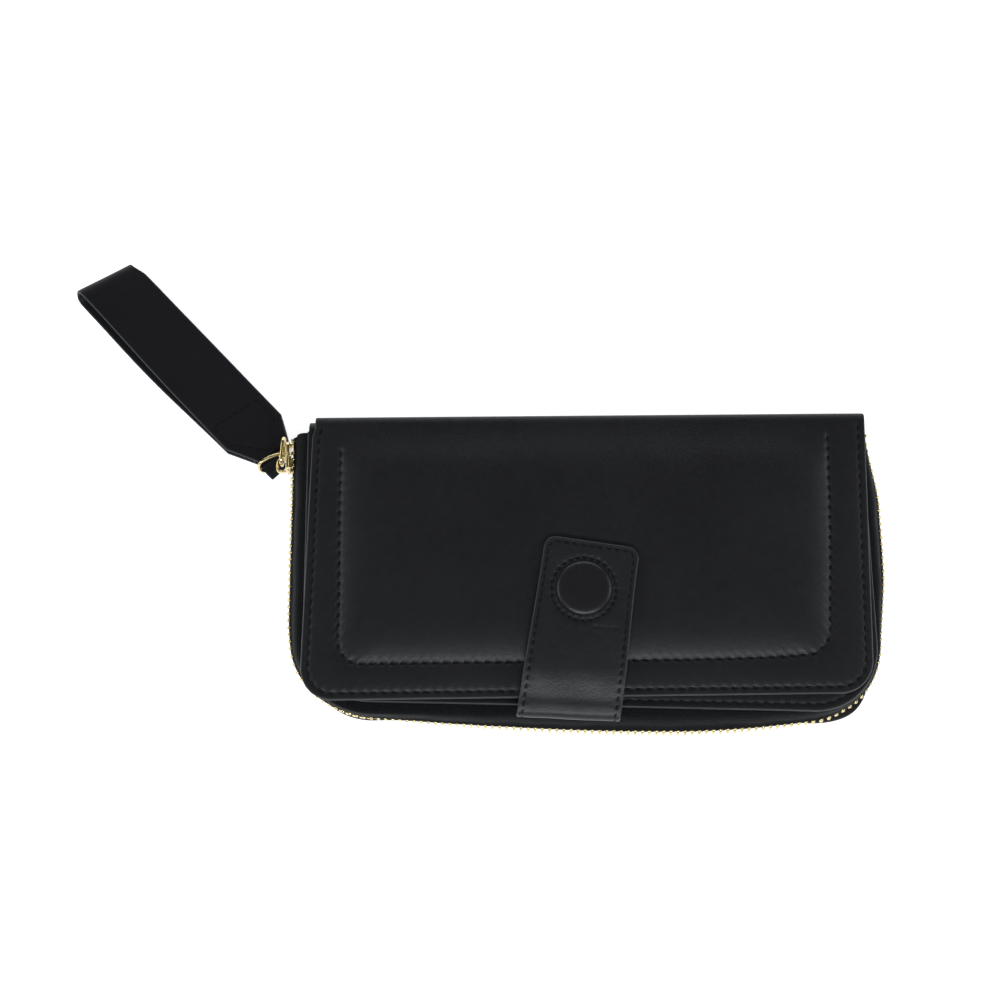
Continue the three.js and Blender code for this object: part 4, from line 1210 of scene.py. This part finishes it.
def strap_sewing():
    """House-shaped sewing: across the strap, along both sides and to a point by the ring."""
    house = [(23, 8.9), (23, -8.9), (14.6, -8.9), (4.6, -0.3), (4.6, 0.3), (14.6, 8.9), (23, 8.9)]
    rows = []
    for a, b in zip(house, house[1:]):
        if math.dist(a, b) > 1:
            s, t = np.linspace(a[0], b[0], 40), np.linspace(a[1], b[1], 40)
            rows.append(lay_strap(s, t, strap_top(s)))
    return rows


def make_wrist_loop():
    """Leather strap folded into a loop round its far end, with its sewing, and its tongue."""
    line = [(3, 1.2), (14, 1.05), (40, 1), (66, 1), (85.4, 1), (91.5, 2.1), (93.6, 4.8), (91.5, 7.5),
            (85.4, 8.2), (66, 7.1), (40, 6.2), (14, 5.5), (3, 5.4)]
    path = curve_through(line, 330)
    edge = np.array([0, 0.05, 0.14, 0.28, 0.5, 0.85, 1.4, 1.9, 2.3, 2.7, 3.3])
    inner = np.linspace(4.4, 2 * STRAP_HALF - 4.4, 22)
    s, z = path[:, :1], path[:, 1:]
    width = strap_width(s)
    lines = np.concatenate([edge, inner, 2 * STRAP_HALF - edge[::-1]])
    across = lines[None, :] / (2 * STRAP_HALF) * 2 * width
    from_edge = np.minimum(across, 2 * width - across)
    lower = smooth(1 - (z - 1.2) / 5.4)
    drift = 2.1 * lower * smooth(s / 70)
    # The far end is a little narrower, and its rear corner is drawn in at the fold.
    front = across / (2 * width)
    narrower = 0.9 * smooth((s - 40) / 50) * front
    drawn_in = 1.1 * smooth((s - 86) / 6) * (1 - front) ** 2
    t = across - width + drift - narrower + drawn_in
    bow = 0.25 * np.sin(s / 19 + t / 9) * smooth((s - 20) / 20)
    mid = lay_strap(s + 0 * across, t, z + bow)
    outward = -grid_normals(mid, False)
    run = lengths(path)
    ends = np.minimum(run, run[-1] - run)[:, None]
    half = rounded(from_edge, STRAP_LEATHER / 2, 0.45) * np.sqrt(1 - (1 - np.clip(ends / 0.5, 0, 1)) ** 2)
    outer = half
    sewing = strap_sewing()
    upper = (mid[..., 2] > 3.3) & (s + 0 * across < 30)
    for row in sewing:
        gap = np.sqrt(((mid[:, :, None, :2] - row[None, None, ::3, :2]) ** 2).sum(-1)).min(-1)
        outer = outer - np.where(upper, 0.16 * np.exp(-(gap / 0.6) ** 2), 0) * np.clip(from_edge, 0, 1)
    shell = thick(mid, outer, half, up=outward)
    add_piece("wrist_strap_leather", [shell], SKIN_LOOP, "wrist_loop", "black_leather", "wrist_strap",
              marks=edge_highlight_mark(from_edge))
    rows = [stitches(row + [0, 0, -0.12], 2.7, radius=0.22) for row in sewing]
    add_piece("wrist_strap_stitches", rows, THREAD, "wrist_loop", "black_leather")
    make_tongue()


def make_tongue():
    """Narrow folded tongue that ties the ring to the strap's end."""
    line = [(15, 2.75), (9, 2.75), (4, 2.45), (0, 2.1), (-2, 2.3), (-3, 3.6), (-2, 4.9), (0, 5.1), (1.5, 4.8),
            (4, 3.85), (9, 3.85), (15, 3.85)]
    path = curve_through(line, 120)
    edge = np.array([0, 0.05, 0.14, 0.3, 0.55, 0.9])
    wide = 7.2
    lines = np.concatenate([edge, np.linspace(1.4, wide - 1.4, 8), wide - edge[::-1]])
    t = lines[None, :] - 3.7 + 0 * path[:, :1]
    mid = on_strap(path[:, :1] + 0 * t, t, path[:, 1:])
    from_edge = np.minimum(lines, wide - lines)[None, :] + 0 * t
    half = rounded(from_edge, 0.35, 0.3)
    add_piece("ring_tongue", [thick(mid, half, half)], SKIN_LOOP, "wrist_loop", "black_leather",
              "strap_tongue")


# ---- snap tab ----
TAB_LINE = [(15, 19.3), (8, 19.3), (2.4, 19.3), (-1.5, 19.5), (-4.0, 20.8), (-4.7, 22.6), (-3.8, 24.1),
            (-1.6, 24.85), (1, 25.2), (4, 25.95), (7, 26.7), (10, 27.15), (15, 27.38), (22, 27.45),
            (30, 27.45), (TAB_LENGTH, 27.45)]
TAB_PATH = curve_through(TAB_LINE, 420)
TAB_RUN = lengths(TAB_PATH)
# The part of the path that lies over the flap, where each place along it has one height.
TAB_OVER = slice(200, None)


def on_tab(u, v, z):
    """Along the tab from its foot, across it and up. It is a little wider at its fold, which runs
    with the leaf's edge and not square to the tab."""
    v = v * (1.055 - 0.055 * smooth(u / 45))
    u = u + 0.10 * v * (1 - smooth((u - 5) / 30))
    x = TAB_FOOT[0] + v * math.cos(TAB_TURN) - u * math.sin(TAB_TURN)
    y = TAB_FOOT[1] + v * math.sin(TAB_TURN) + u * math.cos(TAB_TURN)
    return np.stack([x + 0 * z, y + 0 * z, z + 0 * x], -1)


def snap_on_tab():
    """The snap's place along and across the tab."""
    d = SNAP - TAB_FOOT
    u = -d[0] * math.sin(TAB_TURN) + d[1] * math.cos(TAB_TURN)
    return u, d[0] * math.cos(TAB_TURN) + d[1] * math.sin(TAB_TURN)


def tab_edge_row():
    """Perimeter row of stitches, from the anchor up one side, across the end and down the other:
    lengths along the tab's line, and across."""
    run = TAB_RUN[-1] - TAB_ROW
    half = TAB_HALF - TAB_ROW
    bend = 2.6
    up = np.stack([np.linspace(12, run - bend, 200), np.full(200, -half)], -1)
    turn = np.linspace(0, math.pi / 2, 12)
    left = np.stack([run - bend + bend * np.sin(turn), -half + bend - bend * np.cos(turn)], -1)
    end = np.stack([np.full(60, run), np.linspace(-half + bend, half - bend, 60)], -1)
    side = np.concatenate([up, left])
    return resample(np.concatenate([side, end, side[::-1] * [1, -1]]), 900)


def tab_at(run, v, out):
    """Point out from the tab's middle layer, at a length along its line, and the outward direction."""
    u = np.interp(run, TAB_RUN, TAB_PATH[:, 0])
    z = np.interp(run, TAB_RUN, TAB_PATH[:, 1])
    du = np.interp(run + 0.3, TAB_RUN, TAB_PATH[:, 0]) - np.interp(run - 0.3, TAB_RUN, TAB_PATH[:, 0])
    dz = np.interp(run + 0.3, TAB_RUN, TAB_PATH[:, 1]) - np.interp(run - 0.3, TAB_RUN, TAB_PATH[:, 1])
    size = np.hypot(du, dz)
    nu, nz = -dz / size, du / size
    return on_tab(u + nu * out, v, z + nz * out), on_tab(nu, 0 * v, nz) - on_tab(0 * nu, 0 * v, 0 * nz)


def tab_grid():
    """Lines along and across the tab, with round corners at its end, and the distance from its edge."""
    total = TAB_RUN[-1]
    edge = np.array([0, 0.05, 0.14, 0.28, 0.5, 0.85, 1.15, 1.4, 1.6, 1.8, 2.1, 2.6, 3.4])
    run = np.concatenate([edge[:7], np.linspace(2, total - 4.2, 150), total - edge[::-1]])[:, None]
    lines = np.concatenate([edge, np.linspace(4.1, 2 * TAB_HALF - 4.1, 58), 2 * TAB_HALF - edge[::-1]])
    over = np.clip(run - (total - TAB_CORNER), 0, TAB_CORNER)
    half_width = TAB_HALF - (TAB_CORNER - np.sqrt(np.maximum(TAB_CORNER ** 2 - over ** 2, 0)))
    v = (lines[None, :] / (2 * TAB_HALF) * 2 - 1) * half_width
    run = run + 0 * v
    past = np.maximum(np.abs(v) - (TAB_HALF - TAB_CORNER), 0)
    corner_gap = TAB_CORNER - np.hypot(past, over + 0 * v)
    straight_gap = np.minimum(np.minimum(half_width - np.abs(v), total - run), run)
    return run, v, np.where((over > 0) & (past > 0), corner_gap, straight_gap)


def tab_relief(run, v, gap, snap_run, snap_v, stitch_count, row_length):
    """How far the tab's leather is drawn down: at the perimeter row, at the ring round the cap and in
    two creases below the cap, with a faint unevenness."""
    edge_dip = stitch_dip(np.abs(gap - TAB_ROW), run / row_length * stitch_count, 0.16, 0.5) * (gap > 0.6)
    du, dv = run - snap_run, v - snap_v
    ring_phase = np.arctan2(dv, du) / (2 * math.pi) * SNAP_STITCHES
    ring_dip = stitch_dip(np.hypot(du, dv) - SNAP_ROW, ring_phase, 0.3, 0.7)
    crease = np.exp(-((du + 12.2 - 0.06 * dv) / 0.35) ** 2) * smooth((dv - 3) / 3) * smooth((14.2 - dv) / 3)
    second = np.exp(-((du + 13.6 + 0.1 * dv) / 0.5) ** 2) * smooth((dv + 2) / 4) * smooth((9 - dv) / 4)
    uneven = 0.05 * np.sin(run / 3.1 + 0.4 * v) * smooth(gap / 4)
    return edge_dip + ring_dip + 0.16 * crease + 0.06 * second - uneven


def make_tab():
    """Tab leather from its anchor round the fold to its end, with its stitches, lining and snap."""
    run, v, gap = tab_grid()
    half = rounded(gap, LEATHER / 2 - 0.05, 0.5)
    row = tab_edge_row()
    row_length = lengths(row)[-1]
    snap_u, snap_v = snap_on_tab()
    snap_run = np.interp(snap_u, TAB_PATH[TAB_OVER, 0], TAB_RUN[TAB_OVER])
    outer = half - tab_relief(run, v, gap, snap_run, snap_v, round(row_length / TAB_PITCH), row_length)
    mid, outward = tab_at(run, v, 0 * v)
    tab = add_piece("snap_tab", [thick(mid, outer, half, up=outward)], SKIN_TAB, None, "black_leather",
                    "tab_anchor", "tab_fold", "tab_leather", marks=edge_highlight_mark(gap))
    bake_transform(tab)
    line, up = tab_at(row[:, 0], row[:, 1], LEATHER / 2 - 0.16)
    sewing = add_piece("snap_tab_stitches", [stitches(line, TAB_PITCH, up=up, slant=0.1)], THREAD, None,
                       "black_leather")
    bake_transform(sewing)
    turn = np.linspace(0, 2 * math.pi, 300)
    ring, up = tab_at(snap_run + SNAP_ROW * np.cos(turn), snap_v + SNAP_ROW * np.sin(turn),
                      LEATHER / 2 - 0.24)
    add_piece("snap_ring_stitches", [stitches(ring, 2.35, up=up, radius=0.22, slant=0.1)], THREAD, "tab",
              "black_leather")
    make_tab_lining(snap_u, snap_v)
    make_snap()


def make_tab_lining(snap_u, snap_v):
    """Cloth under the tab, with a round hole for the socket."""
    turn = np.linspace(0, 2 * math.pi, 144, endpoint=False)
    inset = 0.9
    hole = 5.4
    u0, u1 = 5.0, TAB_LENGTH - inset
    v1 = TAB_HALF - inset
    along, across = np.cos(turn), np.sin(turn)
    to_end = np.where(along > 0, u1 - snap_u, snap_u - u0) / np.maximum(np.abs(along), 1e-6)
    to_side = np.where(across > 0, v1 - snap_v, v1 + snap_v) / np.maximum(np.abs(across), 1e-6)
    reach = np.minimum(to_end, to_side)[None, :]
    share = np.array([0, 0.01, 0.03, 0.1, 0.25, 0.45, 0.7, 0.9, 0.97, 0.99, 1.0])[:, None]
    radius = hole + (reach - hole) * share
    u, v = snap_u + radius * along, snap_v + radius * across
    z = np.interp(u, TAB_PATH[TAB_OVER, 0], TAB_PATH[TAB_OVER, 1]) - LEATHER / 2 - 0.28
    half = rounded(np.minimum(radius - hole, reach - radius), 0.24, 0.3)
    shell = thick(on_tab(u, v, z), half, half, up=np.array([0, 0, 1.0]), closed=True)
    add_piece("snap_tab_lining", [shell], LINING_CLOTH, "tab", "lining_fabric", "tab_lining")


def make_snap():
    """Leather-covered cap, spring ring under the tab, and post on the flap."""
    def turned(name, profile, height, segments, material, body, slot, cad, sharp=38):
        """Turned piece about the snap's axis."""
        shell = lathe(profile, (*SNAP, height), segments)
        add_piece(name, [shell], material, body, slot, cad, sharp=sharp)

    r = CAP_RADIUS
    cap = [(0, 0), (r * 0.6, 0), (r - 0.5, 0), (r - 0.12, 0.1), (r, 0.35), (r, 0.7), (r - 0.12, 1.05),
           (r - 0.4, 1.35), (r - 0.9, 1.6), (r - 1.6, 1.74), (r - 2.6, 1.8), (r - 4.2, 1.83), (3, 1.86),
           (0, 1.87)]
    ring = [(2.4, 0), (2.7, -0.12), (4.3, -0.12), (4.9, 0.02), (5.0, 0.2), (4.9, 0.36), (4.3, 0.4),
            (2.7, 0.4), (2.4, 0.28), (2.4, 0)]
    post = [(0, 0), (4.4, 0), (4.6, 0.12), (4.55, 0.3), (4.2, 0.42), (2.3, 0.5), (1.75, 0.7), (1.68, 1.1),
            (1.95, 1.45), (1.98, 1.68), (1.7, 1.92), (1.1, 2.0), (0, 2.0)]
    cap_z, ring_z, post_z = (cad_box(name)[0][2] for name in ("snap_cap", "snap_socket", "snap_stud"))
    turned("snap_button_cap", cap, cap_z - 0.35, 96, SKIN_CAP, "tab", "black_cap", "snap_cap", sharp=60)
    turned("snap_spring_ring", ring, ring_z, 72, STEEL, "tab", "snap_steel", "snap_socket")
    turned("snap_post", post, post_z, 72, STEEL, "flap", "snap_steel", "snap_stud")


# ---- floor, lights and camera ----
def make_stage():
    """Bright, evenly lit floor."""
    mesh = bpy.data.meshes.new("floor")
    size = 4.0
    corners = [(-size, -size, 0), (size, -size, 0), (size, size, 0), (-size, size, 0)]
    mesh.from_pydata(corners, [], [(0, 1, 2, 3)])
    floor = bpy.data.objects.new("floor", mesh)
    bpy.context.scene.collection.objects.link(floor)
    paper = Surface("floor", (0.92, 0.92, 0.92), 0.9)
    paper.shader.inputs["Specular IOR Level"].default_value = 0.0
    paper.shader.inputs["Emission Color"].default_value = (1, 1, 1, 1)
    paper.shader.inputs["Emission Strength"].default_value = 0.75
    mesh.materials.append(paper.material)
    floor.location.z = -0.0002


def add_light(name, place, size, power):
    """Soft rectangular light, a little cool, aimed at the wallet."""
    light = bpy.data.lights.new(name, "AREA")
    light.shape = "RECTANGLE"
    light.size, light.size_y = size
    light.energy = power
    light.color = (0.93, 0.97, 1.0)
    obj = bpy.data.objects.new(name, light)
    bpy.context.scene.collection.objects.link(obj)
    obj.location = place
    obj.rotation_euler = (-Vector(place)).to_track_quat("-Z", "Y").to_euler()


def make_lights():
    """Four soft lights and a faint even sky."""
    world = bpy.data.worlds.new("studio")
    world.use_nodes = True
    background = world.node_tree.nodes["Background"]
    background.inputs["Color"].default_value = (1, 1, 1, 1)
    background.inputs["Strength"].default_value = 0.09
    bpy.context.scene.world = world
    add_light("front", (0.0, -0.62, 0.78), (0.9, 0.25), 6.8)
    add_light("left", (-0.95, 0.1, 0.5), (0.7, 0.5), 3.2)
    add_light("right", (0.95, 0.1, 0.5), (0.7, 0.5), 3.2)
    add_light("rear", (0, 0.95, 0.35), (1.2, 0.35), 3.6)


def make_camera():
    """Camera high in front of the wallet, which lies low and to the left in its picture."""
    elevation = math.radians(75)
    distance = 0.511
    target = np.array([-0.0301, 0.0244, 0.010])
    data = bpy.data.cameras.new("camera")
    data.sensor_width = 36
    data.lens = 54
    camera = bpy.data.objects.new("camera", data)
    bpy.context.scene.collection.objects.link(camera)
    back = np.array([0, -math.cos(elevation), math.sin(elevation)])
    camera.location = target + back * distance
    camera.rotation_euler = Euler((math.radians(90) - elevation, 0, math.radians(-0.5)), "XYZ")
    bpy.context.scene.camera = camera
    bpy.context.scene.view_settings.view_transform = "Standard"


def dress_frame():
    """Gives every CAD piece its finish; the boards and the foam show it."""
    finishes = {"stiffener_board": BOARD, "foam_pad": FOAM, "lining_fabric": LINING_CLOTH,
                "black_leather": SKIN, "pale_gold_metal": GOLD, "snap_steel": STEEL, "zip_tape": TAPE_CLOTH,
                "black_cap": SKIN_CAP}
    for part in frame["record"]["subparts"]:
        obj = frame["nodes"][part["node"]]
        obj.data.materials.clear()
        obj.data.materials.append(finishes[part["material_slot"]])


make_camera()
dress_frame()
make_flap()
make_back_spine()
make_flap_fold()
make_leaves()
make_inside()
make_zip()
make_slider()
make_puller()
make_ring()
make_wrist_loop()
make_tab()
make_stage()
make_lights()
